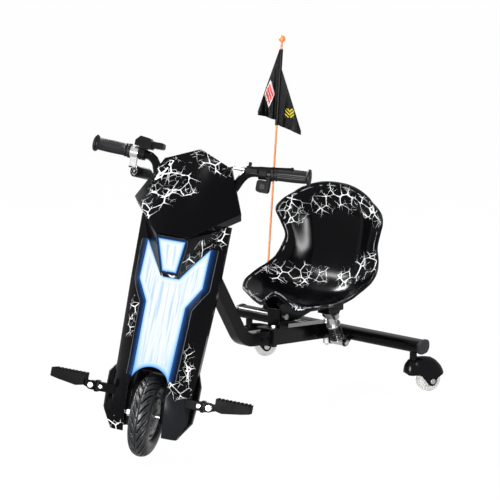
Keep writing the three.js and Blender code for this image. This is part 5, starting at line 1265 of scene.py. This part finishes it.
def add_flag():
    rows, columns = FLAG_POINTS
    points, faces, marks = [], [], []
    for side in (-1, 1):
        faces += grid_faces(rows, columns, start=len(points))
        for down in np.linspace(0, 1, rows):
            for across in np.linspace(0, 1, columns):
                p = flag_point(side, across, down)
                points.append(world(*p))
                drop = (beside_cloth(0) - p).dot(POLE_LINE)
                place = (side * across * FLAG_RIGHT * MM, drop * MM)
                marks.append(place + prints(side, across, drop / FLAG_HEIGHT))
    faces += grid_faces(rows, SLEEVE_SIDES, close_columns=True, start=len(points))
    for drop in np.linspace(0, SLEEVE_SHARE * FLAG_HEIGHT, rows):
        for k in range(SLEEVE_SIDES):
            out = turned_by(k / SLEEVE_SIDES, CLOTH_RIGHT, CLOTH_FRONT * SLEEVE_FLAT) * FLAG_SLEEVE
            points.append(world(*(beside_cloth(drop) + out)))
            eyelet = k == EYELET_SIDE and abs(drop - EYELET_DROP) < EYELET_HALF
            marks.append((0, drop * MM, eyelet, 0.4 * eyelet, 0))
    piece = mesh_piece("flag_sheet", points, faces, "rear", "flag_cloth", "flag")
    for mark, values in zip(CLOTH_MARKS, zip(*marks)):
        mark_points(piece, mark, values)
    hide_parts("flag")


# Stage: floor, background and lamps

FLOOR_HALF = 30
FLOOR_WHITE = 0.985
WORLD_LIGHT = 0.34
KEY = ((-1.40, -0.96, 1.84), (0, 0.3, 0.3), (0.6, 0.28))
LEFT = ((-1.68, 0.89, 1.83), (0, 0.3, 0.3), (0.4, 0.35))
STRIP = ((0.97, -1.89, 0.57), (0, 0.3, 0.4), (0.3, 0.6))
LAMPS = (
    ("key", *KEY, 38),
    ("left", *LEFT, 34),
    ("strip", *STRIP, 32),
    ("side", (2.6, -0.6, 1.7), (0, 0.1, 0.4), (0.2, 0.7), 16),
    ("top", (0.1, 0.2, 2.7), (0, 0.2, 0.3), (0.5, 0.25), 18),
    ("key_card", *KEY, 100),
    ("left_card", *LEFT, 60),
    ("fold_card", (-1.69, 0.45, 2.0), (0, 0.3, 0.3), (0.5, 0.4), 110),
    ("strip_card", *STRIP, 120),
)


def seen_rays(g):
    """1 for camera, glossy and transmitted rays, 0 for others."""
    path = g.add("LightPath").outputs
    return g.most(g.most(path["Is Camera Ray"], path["Is Glossy Ray"]), path["Is Transmission Ray"])


def add_floor():
    """A pale floor that is an even white where it is seen."""
    g = new_graph("floor")
    g.finish(colour=(0.9, 0.9, 0.9, 1), roughness=0.9, specular=0.0)
    white = g.add("Emission", {"Color": (1, 1, 1, 1), "Strength": 1.0})
    share = g.times(seen_rays(g), FLOOR_WHITE)
    mixed = g.add("MixShader", {"Fac": share, 1: g.shader.outputs[0], 2: white.outputs[0]})
    g.link(mixed.outputs[0], g.output.inputs["Surface"])
    mesh = bpy.data.meshes.new("floor")
    corners = [(x * FLOOR_HALF, y * FLOOR_HALF, 0) for x, y in ((-1, -1), (1, -1), (1, 1), (-1, 1))]
    mesh.from_pydata(corners, [], [(0, 1, 2, 3)])
    mesh.materials.append(g.owner)
    floor = into_scene("floor", mesh)


def add_world():
    """A plain background: white where it is seen, dimmer as a light."""
    g = Graph(bpy.data.worlds.new("studio"), "Background", "OutputWorld")
    g.finish(color=(1, 1, 1, 1), strength=g.ranged(seen_rays(g), 0.0, 1.0, WORLD_LIGHT, 1.0))
    bpy.context.scene.world = g.owner


def add_lamps():
    """Rectangular lamps. A card is seen only in gloss."""
    for name, place, target, size, power in LAMPS:
        data = bpy.data.lights.new(name, "AREA")
        data.shape = "RECTANGLE"
        data.size, data.size_y = size
        data.energy = power
        lamp = into_scene(name, data)
        lamp.location = place
        lamp.rotation_euler = (Vector(target) - Vector(place)).to_track_quat("-Z", "Y").to_euler()
        lamp.visible_diffuse = not name.endswith("_card")


add_camera()
dress_nodes()
add_panel_lens()
add_upper_lens()
add_panel_bezels()
add_tyre()
add_hub()
add_bracket_bolts()
add_grip(1, "grip_left")
add_grip(-1, "grip_right")
add_seat()
add_spring()
add_pole()
add_flag()
add_floor()
add_world()
add_lamps()

bpy.context.scene.view_settings.view_transform = "Standard"
